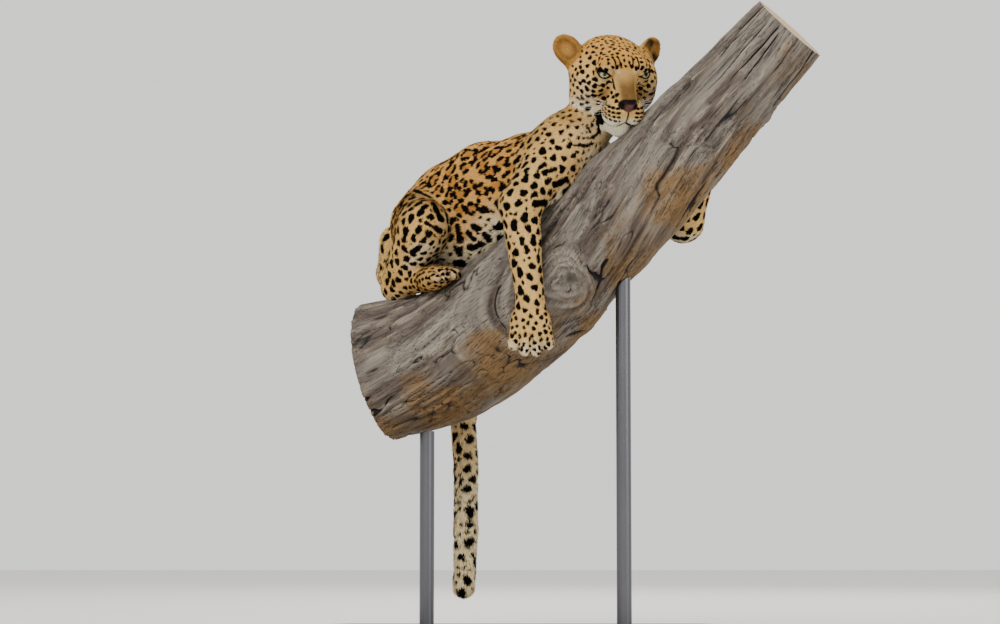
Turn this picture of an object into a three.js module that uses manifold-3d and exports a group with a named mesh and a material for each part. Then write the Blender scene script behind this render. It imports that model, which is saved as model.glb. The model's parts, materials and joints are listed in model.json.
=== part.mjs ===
// A life-size leopard lying along a sloping branch, as a still museum model on a display stand.
// Millimetres, +Z up. The origin is the centre of the base plate's underside, +X runs towards
// the head, +Y away from the viewer. The flesh is one smooth rounded field, built from limbs and
// rounded masses, that is meshed node by node and parted by thin gaps.

import * as THREE from "three";
import { mergeVertices } from "three/addons/utils/BufferGeometryUtils.js";
import Module from "manifold-3d";

const wasm = await Module();
wasm.setup();

const vec = (p) => new THREE.Vector3(...p);
const sub = (a, b) => [a[0] - b[0], a[1] - b[1], a[2] - b[2]];
const dot = (a, b) => a[0] * b[0] + a[1] * b[1] + a[2] * b[2];
const mix = (a, b, t) => a + (b - a) * t;

// Driving sizes
const partingGap = 0.3; // gap left where one node meets the next
const eyeRadius = 16.5;
const base = { width: 820, depth: 520, thickness: 24, corner: 60, bevel: 4 };
const rod = { radius: 15, length: 1000, sides: 20 }; // cut off where it meets the branch
const rodPlaces = [
  { name: "stand_rod_rear", x: -200, y: 78 },
  { name: "stand_rod_front", x: 196, y: -91 },
];

// Centreline of the branch, from its thick end to its thin end, with its radius at each point
const branchLine = [
  { at: [-299, 110, 547], radius: 146 },
  { at: [-143, 60, 586], radius: 138 },
  { at: [11, -5, 691], radius: 130 },
  { at: [118, -55, 794], radius: 121 },
  { at: [215, -100, 885], radius: 110 },
  { at: [308, -140, 974], radius: 101 },
  { at: [411, -185, 1085], radius: 88 },
  { at: [519, -230, 1202], radius: 80 },
];

const branchMesh = { rings: 26, sides: 24 };

// Joints of the skeleton
const joints = {
  pelvis: [-198, 158, 842],
  loin: [-152, 105, 894],
  belly: [-77, 35, 908],
  chest: [5, -35, 932],
  brisket: [57, -80, 947],
  neckLow: [101, -98, 1001],
  neckHigh: [156, -72, 1074],
  groin: [-128, 62, 826],
};

const tailLine = [
  { at: [-268, 215, 830], radius: 40 },
  { at: [-281, 256, 770], radius: 34 },
  { at: [-246, 280, 680], radius: 31 },
  { at: [-178, 268, 572], radius: 30 },
  { at: [-129, 247, 464], radius: 28.5 },
  { at: [-122, 235, 347], radius: 27.5 },
  { at: [-122, 230, 221], radius: 27 },
  { at: [-126, 226, 104], radius: 25 },
];

// The head's own frame: x forward, y to its left, z up, from a yaw, a pitch and a roll in degrees
const headPlace = { at: [175, -117, 1128], yaw: 20, pitch: 34, roll: 3.5 };
const eyeAt = [51, 39, 31]; // the left eye's middle, in the head's frame
const cheekPush = 10; // how far the branch presses the left side of the head out
const ears = {
  ear_right: { root: [-31, -64, 16], along: [-0.62, -0.6, 0.55], facing: [0.78, -0.5, 0.5] },
  ear_left: { root: [-26, 70, 24], along: [-0.66, 0.69, 0.3], facing: [0.75, 0.5, 0.2] },
};

// Joints of the legs, and the frames of the paws: x to the toes, z to the paw's upper side
const legs = {
  foreRight: { shoulder: [72, -105, 985], elbow: [-11, -180, 857], wrist: [9, -170, 674] },
  foreLeft: { shoulder: [135, 15, 962], elbow: [328, 62, 854], wrist: [386, -2, 1029] },
  hindRight: { hip: [-204, 126, 862], knee: [-204, -28, 836], hock: [-263, 70, 722] },
  hindLeft: { hip: [-212, 192, 868], knee: [-172, 318, 850], hock: [-190, 268, 742] },
};
const forepaw = { length: 120, width: 90, depth: 56, toeRadius: 15 };
const hindfoot = { length: 96, width: 74, depth: 46, toeRadius: 12 };
const pawFrames = {
  forepaw_right: frameAt(legs.foreRight.wrist, [0.01, 0.02, -1], [0, -1, 0]),
  forepaw_left: frameAt(legs.foreLeft.wrist, [0.35, -0.35, 0.85], [0.2, 1, 0.3]),
  hindfoot_right: frameAt([-205, -4, 727], [0.62, -0.72, 0.08], [0, -0.35, 1]),
  hindfoot_left: frameAt([-150, 230, 738], [0.78, -0.52, 0.1], [0, 0.4, 1]),
};

// A frame at a point, with x along forward and z as near to up as it can be
function frameAt(origin, forward, up = [0, 0, 1]) {
  const x = vec(forward).normalize();
  const y = new THREE.Vector3().crossVectors(vec(up), x).normalize();
  const z = new THREE.Vector3().crossVectors(x, y);
  return { origin, axes: [x.toArray(), y.toArray(), z.toArray()] };
}

// A point of a frame in the part's own coordinates
function placed(frame, local) {
  return [0, 1, 2].map(
    (i) => frame.origin[i] + frame.axes.reduce((sum, axis, j) => sum + axis[i] * local[j], 0),
  );
}

const turned = (frame, local) => sub(placed(frame, local), frame.origin);

function headFrame({ at, yaw, pitch, roll }) {
  const turn = new THREE.Euler(
    THREE.MathUtils.degToRad(roll),
    THREE.MathUtils.degToRad(pitch),
    THREE.MathUtils.degToRad(yaw - 90),
    "ZYX",
  );
  const axes = [
    [1, 0, 0],
    [0, 1, 0],
    [0, 0, 1],
  ].map((a) => vec(a).applyEuler(turn).toArray());
  return { origin: at, axes };
}

// The flesh, as a list of rounded masses. Each belongs to a node and blends over a width.
const masses = [];

function addMass(node, blend, reach, centre, distance, carve = false) {
  masses.push({ node, blend, reach, centre, distance, carve });
}

// A limb between two points, round and evenly tapered
function limb(node, a, b, radiusA, radiusB, blend = 18, carve = false) {
  const ab = sub(b, a);
  const length2 = dot(ab, ab);
  const centre = a.map((v, i) => (v + b[i]) / 2);
  const reach = Math.sqrt(length2) / 2 + Math.max(radiusA, radiusB);
  const distance = (p) => {
    const ap = [p[0] - a[0], p[1] - a[1], p[2] - a[2]];
    const t = Math.min(1, Math.max(0, dot(ap, ab) / length2));
    return (
      Math.hypot(ap[0] - ab[0] * t, ap[1] - ab[1] * t, ap[2] - ab[2] * t) -
      mix(radiusA, radiusB, t)
    );
  };
  addMass(node, blend, reach, centre, distance, carve);
}

// An egg shape in a frame, with its half sizes along the frame's axes
function egg(node, frame, local, radii, blend = 18, carve = false) {
  const centre = placed(frame, local);
  const [x, y, z] = frame.axes;
  const distance = (p) => {
    const d = [p[0] - centre[0], p[1] - centre[1], p[2] - centre[2]];
    const q = [dot(d, x) / radii[0], dot(d, y) / radii[1], dot(d, z) / radii[2]];
    const near = Math.hypot(...q);
    const far = Math.hypot(q[0] / radii[0], q[1] / radii[1], q[2] / radii[2]);
    return far < 1e-9 ? -Math.min(...radii) : (near * (near - 1)) / far;
  };
  addMass(node, blend, Math.max(...radii), centre, distance, carve);
}

// A chain of limbs through a list of points with their radii
function chain(node, line, blend) {
  for (let i = 0; i + 1 < line.length; i++) {
    limb(node, line[i].at, line[i + 1].at, line[i].radius, line[i + 1].radius, blend);
  }
}

// Torso and neck
function buildTrunk() {
  const spine = frameAt(joints.chest, sub(joints.chest, joints.loin));
  const at = (point) => ({ ...spine, origin: point });
  egg("torso", at(joints.pelvis), [0, 0, 0], [84, 78, 78], 30);
  egg("torso", at(joints.loin), [0, 0, 0], [100, 86, 96], 40);
  egg("torso", at(joints.belly), [0, 0, -8], [114, 92, 124], 40);
  egg("torso", at(joints.chest), [0, 0, -9], [105, 92, 107], 40);
  egg("torso", at(joints.brisket), [0, 0, -10], [72, 80, 86], 36);
  egg("torso", at(joints.groin), [0, 0, 0], [92, 62, 78], 40);
  limb("neck", joints.neckLow, joints.neckHigh, 56, 57, 28);
  limb("neck", joints.brisket, joints.neckLow, 70, 56, 28);
}

// Head, in its own frame: skull, brow, bridge, muzzle, chin, jaw and nose pad, then each side
function buildHead(h) {
  egg("head", h, [-22, cheekPush / 2, 13], [84, 70 + cheekPush / 2, 58], 20);
  egg("head", h, [28, 0, 36], [44, 44, 32], 22);
  limb("head", placed(h, [40, 0, 24]), placed(h, [96, 0, -10]), 31, 21, 20);
  egg("head", h, [72, 0, -34], [44, 32, 34], 16);
  egg("head", h, [84, 0, -74], [23, 23, 22], 12);
  egg("head", h, [34, 0, -58], [52, 38, 30], 18);
  egg("head", h, [113, 0, -13], [9, 17, 10], 5);
  for (const side of [-1, 1]) {
    const wide = side * 50 + (side > 0 ? cheekPush : 0);
    egg("head", h, [87, side * 21, -40], [31, 23, 27], 9);
    limb("head", placed(h, [-10, side * 44, -52]), placed(h, [66, side * 12, -68]), 25, 20, 16);
    egg("head", h, [0, wide, -20], [54, 34, 56], 22);
    limb("head", placed(h, [44, wide - side * 3, 6]), placed(h, [-20, wide + side * 12, 2]), 19, 22, 18);
    egg("head", h, [50, side * 31, 48], [24, 20, 14], 12);
    egg("head", h, [eyeAt[0], side * eyeAt[1], eyeAt[2]], [20, 20, 20], 7);
  }
  for (const side of [-1, 1]) carveFace(h, side);
  limb("head", placed(h, [121, 0, -24]), placed(h, [116, 0, -52]), 2.4, 2.4, 3, true);
}

// The openings of one side of the face: between the lids, the nostril, and the line of the mouth
function carveFace(h, side) {
  const outward = turned(h, [0.9, side * 0.42, 0]);
  const slant = frameAt(placed(h, [69, side * 42, 31]), outward, turned(h, [0, side * -0.12, 1]));
  egg("head", slant, [0, 0, 0], [13, 14, 7.5], 2, true);
  limb("head", placed(h, [119, side * 7, -16]), placed(h, [112, side * 15, -13]), 4, 3, 2, true);
  const lip = [
    [113, 0, -52],
    [104, side * 16, -62],
    [84, side * 32, -63],
    [52, side * 41, -55],
  ];
  for (let i = 0; i + 1 < lip.length; i++) {
    limb("head", placed(h, lip[i]), placed(h, lip[i + 1]), 3, 3, 3, true);
  }
}

// One ear: a cup low on the side of the crown, rounded at its tip and narrower at its root, in a
// frame with z along the ear and x out of its opening
function earFrame(h, node) {
  const { root, along, facing } = ears[node];
  const z = vec(turned(h, along)).normalize();
  const x = vec(turned(h, facing)).addScaledVector(z, -z.dot(vec(turned(h, facing))));
  return frameAt(placed(h, root), x.toArray(), z.toArray());
}

function buildEar(h, node) {
  const ear = earFrame(h, node);
  egg(node, ear, [0, 0, 32], [15, 27, 34], 12);
  egg(node, ear, [2, 0, 8], [17, 23, 26], 12);
  egg(node, ear, [15, 0, 34], [15, 20, 26], 4, true);
}

// A paw or foot with four toes
function buildPaw(node, { length, width, depth, toeRadius }) {
  const frame = pawFrames[node];
  egg(node, frame, [length * 0.42, 0, 0], [length * 0.42, width * 0.47, depth * 0.5], 16);
  const spread = [-0.36, -0.13, 0.13, 0.36];
  for (const offset of spread) {
    const reach = 1 - Math.abs(offset) * 0.42;
    const knuckle = placed(frame, [length * 0.55, offset * width * 0.86, depth * 0.1]);
    const tip = placed(frame, [length * reach - toeRadius, offset * width, -depth * 0.06]);
    limb(node, knuckle, tip, toeRadius * 1.02, toeRadius, 5);
  }
}

// A rounded mass of muscle in a leg, along a direction
function muscle(node, at, along, up, radii) {
  egg(node, frameAt(at, along, up), [0, 0, 0], radii, 30);
}

// Legs
function buildLegs() {
  const { foreRight, foreLeft, hindRight, hindLeft } = legs;
  muscle("foreleg_right_upper", [66, -112, 985], [-0.5, -0.45, -0.8], [0, -1, 0.3], [88, 52, 44]);
  limb("foreleg_right_upper", foreRight.shoulder, foreRight.elbow, 56, 42, 26);
  limb("foreleg_right_lower", foreRight.elbow, foreRight.wrist, 41, 31, 18);
  buildPaw("forepaw_right", forepaw);

  muscle("foreleg_left_upper", [148, -4, 962], [0.62, 0.3, -0.6], [0.2, 1, 0.3], [82, 50, 54]);
  limb("foreleg_left_upper", foreLeft.shoulder, foreLeft.elbow, 58, 42, 30);
  limb("foreleg_left_lower", foreLeft.elbow, foreLeft.wrist, 41, 31, 18);
  buildPaw("forepaw_left", forepaw);

  muscle("hindleg_right_thigh", [-212, 54, 838], [0.05, -0.95, -0.2], [0, 0, 1], [96, 62, 74]);
  limb("hindleg_right_thigh", hindRight.hip, hindRight.knee, 70, 48, 30);
  limb("hindleg_right_shank", hindRight.knee, hindRight.hock, 52, 36, 24);
  limb("hindfoot_right", hindRight.hock, [-190, -25, 728], 27, 25, 14);
  buildPaw("hindfoot_right", hindfoot);

  muscle("hindleg_left_thigh", [-196, 240, 852], [0.3, 0.95, -0.15], [0, 0, 1], [98, 64, 76]);
  limb("hindleg_left_thigh", hindLeft.hip, hindLeft.knee, 70, 48, 30);
  limb("hindleg_left_shank", hindLeft.knee, hindLeft.hock, 52, 36, 24);
  limb("hindfoot_left", hindLeft.hock, [-140, 225, 738], 27, 25, 14);
  buildPaw("hindfoot_left", hindfoot);
}

function buildTail() {
  chain("tail_root", tailLine.slice(0, 3), 5);
  chain("tail_middle", tailLine.slice(2, 6), 5);
  chain("tail_tip", tailLine.slice(5), 5);
}

const head = headFrame(headPlace);
buildTrunk();
buildHead(head);
buildEar(head, "ear_right");
buildEar(head, "ear_left");
buildLegs();
buildTail();

// Smooth union: the two distances melt into each other over a width
function melt(a, b, width) {
  const h = Math.max(width - Math.abs(a - b), 0) / width;
  return Math.min(a, b) - (h * h * width) / 4;
}

// Carved masses come last, so that no later mass fills them
masses.sort((a, b) => Number(a.carve) - Number(b.carve));

// The skin's distance at a point, from a list of masses
function skinAt(p, list) {
  let skin = 1e6;
  for (const m of list) {
    const away =
      Math.hypot(p[0] - m.centre[0], p[1] - m.centre[1], p[2] - m.centre[2]) - m.reach;
    if (away > (m.carve ? m.blend + 4 : 110)) continue;
    skin = m.carve ? -melt(-skin, m.distance(p), m.blend) : melt(skin, m.distance(p), m.blend);
  }
  return skin;
}

// Each node of flesh fills its own block of space, less the blocks that come before it. A block is
// a box in a frame, and `beside` names the nodes whose masses also shape the skin in it.
const blocks = [
  ...["ear_right", "ear_left"].map((node) => ({
    node,
    beside: ["head"],
    frame: earFrame(head, node),
    min: [-40, -38, 10],
    max: [60, 38, 110],
    cell: 4,
    triangles: 340,
  })),
  {
    node: "head",
    beside: ["neck", "ear_right", "ear_left"],
    frame: frameAt(
      placed(head, [-40, 0, -74]),
      turned(head, [0.25, 0, 0.97]),
      turned(head, [-0.97, 0, 0.25]),
    ),
    min: [0, -100, -200],
    max: [230, 100, 120],
    cell: 4.5,
    triangles: 3600,
  },
  {
    node: "forepaw_right",
    beside: ["foreleg_right_lower"],
    frame: pawFrames.forepaw_right,
    min: [0, -70, -60],
    max: [150, 70, 60],
    cell: 5,
    triangles: 620,
  },
  {
    node: "forepaw_left",
    beside: ["foreleg_left_lower"],
    frame: pawFrames.forepaw_left,
    min: [0, -70, -60],
    max: [150, 70, 60],
    cell: 5,
    triangles: 620,
  },
  {
    node: "foreleg_right_lower",
    beside: ["foreleg_right_upper", "forepaw_right"],
    frame: frameAt([-8, -180, 850], [0.1, 0.05, -1], [0, -1, 0]),
    min: [0, -60, -60],
    max: [190, 60, 60],
    cell: 8,
    triangles: 230,
  },
  {
    node: "foreleg_left_lower",
    beside: ["foreleg_left_upper", "forepaw_left"],
    frame: frameAt([330, 60, 872], [0.3, -0.3, 0.9], [0, 1, 0.3]),
    min: [0, -60, -65],
    max: [190, 60, 65],
    cell: 8,
    triangles: 230,
  },
  {
    node: "foreleg_right_upper",
    beside: ["torso", "neck", "foreleg_right_lower"],
    frame: frameAt([50, -122, 965], [-0.3, -0.9, -0.25], [0.5, 0.45, 0.8]),
    min: [0, -66, -170],
    max: [150, 66, 80],
    cell: 9,
    triangles: 380,
  },
  {
    node: "foreleg_left_upper",
    beside: ["torso", "neck", "foreleg_left_lower"],
    frame: frameAt([150, 20, 955], [0.85, 0.21, -0.48]),
    min: [0, -75, -75],
    max: [250, 75, 75],
    cell: 9,
    triangles: 360,
  },
  {
    node: "hindfoot_right",
    beside: ["hindleg_right_shank"],
    frame: frameAt([-250, 52, 724], [0.62, -0.72, 0]),
    min: [0, -55, -60],
    max: [200, 55, 36],
    cell: 5,
    triangles: 560,
  },
  {
    node: "hindfoot_left",
    beside: ["hindleg_left_shank"],
    frame: frameAt([-172, 254, 740], [0.78, -0.52, 0]),
    min: [0, -55, -60],
    max: [190, 55, 36],
    cell: 5,
    triangles: 560,
  },
  {
    node: "hindleg_right_shank",
    beside: ["hindleg_right_thigh", "hindfoot_right"],
    frame: frameAt([-208, -14, 812], [-0.1, -0.3, -0.95], [1, 0, 0]),
    min: [0, -90, -115],
    max: [150, 150, 80],
    cell: 9,
    triangles: 260,
  },
  {
    node: "hindleg_left_shank",
    beside: ["hindleg_left_thigh", "hindfoot_left"],
    frame: frameAt([-180, 310, 822], [0, 0, -1], [1, 0, 0]),
    min: [0, -120, -60],
    max: [150, 90, 80],
    cell: 9,
    triangles: 260,
  },
  {
    node: "hindleg_right_thigh",
    beside: ["torso", "hindleg_right_shank"],
    frame: frameAt([-228, 92, 865], [-0.1, -0.98, -0.1]),
    min: [0, -100, -120],
    max: [200, 100, 120],
    cell: 10,
    triangles: 420,
  },
  {
    node: "hindleg_left_thigh",
    beside: ["torso", "hindleg_left_shank"],
    frame: frameAt([-222, 232, 870], [0.25, 0.96, -0.05]),
    min: [0, -130, -120],
    max: [190, 130, 120],
    cell: 10,
    triangles: 420,
  },
  {
    node: "tail_tip",
    beside: ["tail_middle"],
    frame: frameAt(tailLine[5].at, sub(tailLine[6].at, tailLine[4].at), [1, 0, 0]),
    min: [0, -60, -60],
    max: [300, 60, 60],
    cell: 8,
    triangles: 220,
  },
  {
    node: "tail_middle",
    beside: ["tail_root", "tail_tip"],
    frame: frameAt(tailLine[2].at, sub(tailLine[3].at, tailLine[2].at), [1, 0, 0]),
    min: [0, -100, -100],
    max: [380, 100, 100],
    cell: 8,
    triangles: 240,
  },
  {
    node: "tail_root",
    beside: ["torso", "tail_middle"],
    frame: frameAt([-276, 240, 793], [-0.1, 0.4, -0.9], [1, 0, 0]),
    min: [0, -60, -60],
    max: [160, 60, 70],
    cell: 8,
    triangles: 200,
  },
  {
    node: "neck",
    beside: ["torso", "head", "foreleg_right_upper", "foreleg_left_upper"],
    frame: frameAt([82, -92, 985], [0.5, -0.05, 0.86], [-0.86, 0, 0.5]),
    min: [0, -130, -130],
    max: [210, 130, 130],
    cell: 9,
    triangles: 420,
  },
  {
    node: "torso",
    beside: [
      "neck", "foreleg_right_upper", "foreleg_left_upper", "hindleg_right_thigh",
      "hindleg_left_thigh", "tail_root",
    ],
    frame: frameAt([0, 0, 0], [1, 0, 0]),
    min: [-340, -200, 760],
    max: [190, 310, 1080],
    cell: 11,
    triangles: 1300,
  },
];

// The skin inside a block, and a little past it, so that the block can cut it cleanly
function blockField({ node, beside, frame, min, max, cell }) {
  const list = masses.filter((m) => m.node === node || beside.includes(m.node));
  const past = 1.2 * cell;
  return (p) => {
    const d = sub(p, frame.origin);
    const q = frame.axes.map((axis) => dot(d, axis));
    const out = q.map((v, i) => Math.max(min[i] - v, v - max[i]));
    return Math.max(skinAt(p, list), ...out.map((v) => v - past));
  };
}

function blockBounds({ frame, min, max, cell }) {
  const bounds = new THREE.Box3();
  for (let c = 0; c < 8; c++) {
    const local = [0, 1, 2].map((i) => ((c >> i) & 1 ? max[i] : min[i]));
    bounds.expandByPoint(vec(placed(frame, local)));
  }
  return bounds.expandByScalar(3 * cell);
}

// The six tetrahedra of a cube, each a walk from one corner to the opposite one
const walks = [
  [1, 3, 7, 1],
  [1, 5, 7, -1],
  [2, 3, 7, -1],
  [2, 6, 7, 1],
  [4, 5, 7, 1],
  [4, 6, 7, -1],
];
const pairCases = [
  [0, 1, 2, 3],
  [0, 2, 3, 1],
  [0, 3, 1, 2],
  [1, 2, 0, 3],
  [1, 3, 2, 0],
  [2, 3, 0, 1],
];
const singleCases = [
  [0, 1, 2, 3],
  [1, 0, 3, 2],
  [2, 0, 1, 3],
  [3, 0, 2, 1],
];

// Meshes the zero level of a field over a box, by marching tetrahedra
function meshField(field, box, cell) {
  const size = box.getSize(new THREE.Vector3()).divideScalar(cell).ceil().addScalar(2);
  const start = box.min.clone().addScalar(-cell);
  const [nx, ny, nz] = size.toArray().map((n) => n + 1);
  const corner = (i, j, k) => [start.x + i * cell, start.y + j * cell, start.z + k * cell];
  const values = new Float64Array(nx * ny * nz);
  const run = 4;
  const far = run * cell * 1.15;
  for (let k = 0; k < nz; k += run)
    for (let j = 0; j < ny; j += run)
      for (let i = 0; i < nx; i += run) {
        const middle = field(corner(i + (run - 1) / 2, j + (run - 1) / 2, k + (run - 1) / 2));
        for (let c = k; c < Math.min(nz, k + run); c++)
          for (let b = j; b < Math.min(ny, j + run); b++)
            for (let a = i; a < Math.min(nx, i + run); a++)
              values[a + nx * (b + ny * c)] =
                Math.abs(middle) > far ? middle : field(corner(a, b, c)) || 1e-9;
      }
  const step = [0, 1, nx, nx + 1, nx * ny, nx * ny + 1, nx * ny + nx, nx * ny + nx + 1];
  const points = [];
  const faces = [];
  const made = new Map();
  const crossing = (n, ijk, a, b) => {
    if (a > b) [a, b] = [b, a];
    const key = (n + step[a]) * 8 + (b - a);
    if (made.has(key)) return made.get(key);
    const va = values[n + step[a]];
    const vb = values[n + step[b]];
    const t = Math.min(0.96, Math.max(0.04, va / (va - vb)));
    const ca = corner(ijk[0] + (a & 1), ijk[1] + ((a >> 1) & 1), ijk[2] + (a >> 2));
    const cb = corner(ijk[0] + (b & 1), ijk[1] + ((b >> 1) & 1), ijk[2] + (b >> 2));
    points.push(ca.map((v, i) => mix(v, cb[i], t)));
    made.set(key, points.length - 1);
    return points.length - 1;
  };
  for (let k = 0; k < nz - 1; k++)
    for (let j = 0; j < ny - 1; j++)
      for (let i = 0; i < nx - 1; i++) {
        const n = i + nx * (j + ny * k);
        let inside = 0;
        for (const s of step) inside += values[n + s] < 0 ? 1 : 0;
        if (inside === 0 || inside === 8) continue;
        for (const [a, b, c, sign] of walks) {
          const tet = [0, a, b, c];
          const within = tet.filter((v) => values[n + step[v]] < 0);
          if (within.length === 0 || within.length === 4) continue;
          const edge = (u, v) => crossing(n, [i, j, k], tet[u], tet[v]);
          const isIn = tet.map((v) => values[n + step[v]] < 0);
          const add = (x, y, z, turn) => faces.push(turn * sign > 0 ? [x, y, z] : [x, z, y]);
          if (within.length === 2) {
            const [p, q, r, s] = pairCases.find(([u, v]) => isIn[u] && isIn[v]);
            const [e1, e2, e3, e4] = [edge(p, r), edge(p, s), edge(q, s), edge(q, r)];
            add(e1, e2, e3, 1);
            add(e1, e3, e4, 1);
          } else {
            const alone = within.length === 1;
            const [p, q, r, s] = singleCases.find(([u]) => isIn[u] === alone);
            add(edge(p, q), edge(p, r), edge(p, s), alone ? 1 : -1);
          }
        }
      }
  return { points, faces };
}

// Moves every point onto the field's zero level
function settle({ points }, field, cell, rounds = 3) {
  const h = 0.4;
  for (let round = 0; round < rounds; round++)
    for (const p of points) {
      const d = field(p);
      const g = [0, 1, 2].map((i) => {
        const a = [...p];
        const b = [...p];
        a[i] += h;
        b[i] -= h;
        return (field(a) - field(b)) / (2 * h);
      });
      const g2 = Math.max(dot(g, g), 0.2);
      const move = Math.min(cell * 0.3, Math.max(-cell * 0.3, d)) / g2;
      g.forEach((v, i) => (p[i] -= v * move));
    }
}

// Thins a closed mesh to a number of triangles, by collapsing the edges that matter least
function thin({ points, faces }, target) {
  const quadrics = points.map(() => new Float64Array(10));
  const around = points.map(() => new Set());
  const cross = (a, b, c) => {
    const u = sub(b, a);
    const v = sub(c, a);
    return [u[1] * v[2] - u[2] * v[1], u[2] * v[0] - u[0] * v[2], u[0] * v[1] - u[1] * v[0]];
  };
  faces.forEach((f, index) => {
    const n = cross(...f.map((v) => points[v]));
    const area = Math.hypot(...n);
    f.forEach((v) => around[v].add(index));
    if (area < 1e-9) return;
    const [a, b, c] = n.map((x) => x / area);
    const d = -(a * points[f[0]][0] + b * points[f[0]][1] + c * points[f[0]][2]);
    const q = [a * a, a * b, a * c, a * d, b * b, b * c, b * d, c * c, c * d, d * d];
    f.forEach((v) => q.forEach((x, i) => (quadrics[v][i] += x * area)));
  });
  const costAt = (q, [x, y, z]) =>
    q[0] * x * x + 2 * q[1] * x * y + 2 * q[2] * x * z + 2 * q[3] * x + q[4] * y * y +
    2 * q[5] * y * z + 2 * q[6] * y + q[7] * z * z + 2 * q[8] * z + q[9];
  const stamp = new Int32Array(points.length);
  const heap = [];
  const less = (i, j) => heap[i].cost < heap[j].cost;
  const swap = (i, j) => ([heap[i], heap[j]] = [heap[j], heap[i]]);
  const push = (item) => {
    heap.push(item);
    for (let i = heap.length - 1; i > 0; ) {
      const up = (i - 1) >> 1;
      if (!less(i, up)) break;
      swap(i, up);
      i = up;
    }
  };
  const pop = () => {
    const top = heap[0];
    const last = heap.pop();
    if (heap.length) {
      heap[0] = last;
      for (let i = 0; ; ) {
        let low = i;
        if (2 * i + 1 < heap.length && less(2 * i + 1, low)) low = 2 * i + 1;
        if (2 * i + 2 < heap.length && less(2 * i + 2, low)) low = 2 * i + 2;
        if (low === i) break;
        swap(i, low);
        i = low;
      }
    }
    return top;
  };
  const offer = (a, b) => {
    const q = quadrics[a].map((x, i) => x + quadrics[b][i]);
    const m = new THREE.Matrix3().set(q[0], q[1], q[2], q[1], q[4], q[5], q[2], q[5], q[7]);
    const middle = points[a].map((x, i) => (x + points[b][i]) / 2);
    const spots = [points[a], points[b], middle];
    const span = Math.hypot(...sub(points[a], points[b]));
    if (Math.abs(m.determinant()) > 1e-6 * q[0] * q[4] * q[7] + 1e-9) {
      const best = new THREE.Vector3(-q[3], -q[6], -q[8]).applyMatrix3(m.invert()).toArray();
      if (Math.hypot(...sub(best, middle)) < span * 1.5) spots.push(best);
    }
    let cost = Infinity;
    let spot = middle;
    for (const s of spots) {
      const c = costAt(q, s);
      if (c < cost) [cost, spot] = [c, s];
    }
    push({ cost: cost + span * span * 1e-3, a, b, spot: [...spot], sa: stamp[a], sb: stamp[b] });
  };
  const neighbours = (v) => {
    const found = new Set();
    for (const f of around[v]) for (const w of faces[f]) if (w !== v) found.add(w);
    return found;
  };
  points.forEach((_, v) => neighbours(v).forEach((w) => v < w && offer(v, w)));
  let left = faces.length;
  while (left > target && heap.length) {
    const { a, b, spot, sa, sb } = pop();
    if (sa !== stamp[a] || sb !== stamp[b] || !faces.length) continue;
    const na = neighbours(a);
    const nb = neighbours(b);
    if (!na.has(b)) continue;
    if ([...na].filter((v) => nb.has(v)).length !== 2) continue;
    const moved = (v) => (v === a || v === b ? spot : points[v]);
    const folds = [...around[a], ...around[b]].some((f) => {
      const face = faces[f];
      if (face.includes(a) && face.includes(b)) return false;
      const before = cross(...face.map((v) => points[v]));
      const after = cross(...face.map(moved));
      return dot(before, after) < 0.3 * Math.hypot(...before) * Math.hypot(...after);
    });
    if (folds) continue;
    points[a] = spot;
    quadrics[a] = quadrics[a].map((x, i) => x + quadrics[b][i]);
    for (const f of around[b]) {
      const face = faces[f];
      if (face.includes(a)) {
        face.forEach((v) => around[v].delete(f));
        faces[f] = null;
        left--;
      } else {
        face[face.indexOf(b)] = a;
        around[a].add(f);
      }
    }
    around[b].clear();
    stamp[b]++;
    stamp[a]++;
    for (const v of neighbours(a)) offer(a, v);
  }
  const index = new Map();
  const kept = [];
  const name = (v) => {
    if (!index.has(v)) index.set(v, kept.push(points[v]) - 1);
    return index.get(v);
  };
  return { faces: faces.filter(Boolean).map((f) => f.map(name)), points: kept };
}

// Solids and geometries
function solidFrom({ points, faces }) {
  return new wasm.Manifold(
    new wasm.Mesh({
      numProp: 3,
      vertProperties: new Float32Array(points.flat()),
      triVerts: new Uint32Array(faces.flat()),
    }),
  );
}

function solidFromGeometry(geometry) {
  const bare = geometry.clone();
  bare.deleteAttribute("normal");
  bare.deleteAttribute("uv");
  const merged = mergeVertices(bare, 1e-3);
  return new wasm.Manifold(
    new wasm.Mesh({
      numProp: 3,
      vertProperties: new Float32Array(merged.attributes.position.array),
      triVerts: new Uint32Array(merged.index.array),
    }),
  );
}

function geometryFrom(solid) {
  const mesh = solid.getMesh();
  const geometry = new THREE.BufferGeometry();
  geometry.setAttribute("position", new THREE.BufferAttribute(mesh.vertProperties, 3));
  geometry.setIndex(new THREE.BufferAttribute(mesh.triVerts, 1));
  geometry.computeVertexNormals();
  return geometry;
}

// The same solid, grown by the parting gap along its vertex normals
function grown(solid, by = partingGap * 0.95) {
  const geometry = geometryFrom(solid);
  const { position, normal } = geometry.attributes;
  for (let i = 0; i < position.array.length; i++) position.array[i] += normal.array[i] * by;
  return solidFromGeometry(geometry);
}

// A node's block as a solid, each face moved out by a distance
function blockSolid({ frame, min, max }, out) {
  const size = max.map((v, i) => v - min[i] + 2 * out);
  const box = new THREE.BoxGeometry(...size);
  box.translate(...max.map((v, i) => (v + min[i]) / 2));
  const [x, y, z] = frame.axes.map(vec);
  box.applyMatrix4(new THREE.Matrix4().makeBasis(x, y, z));
  box.translate(...frame.origin);
  return solidFromGeometry(box);
}

const largest = (solid) =>
  solid.decompose().reduce((best, s) => (s.volume() > best.volume() ? s : best));

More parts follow.
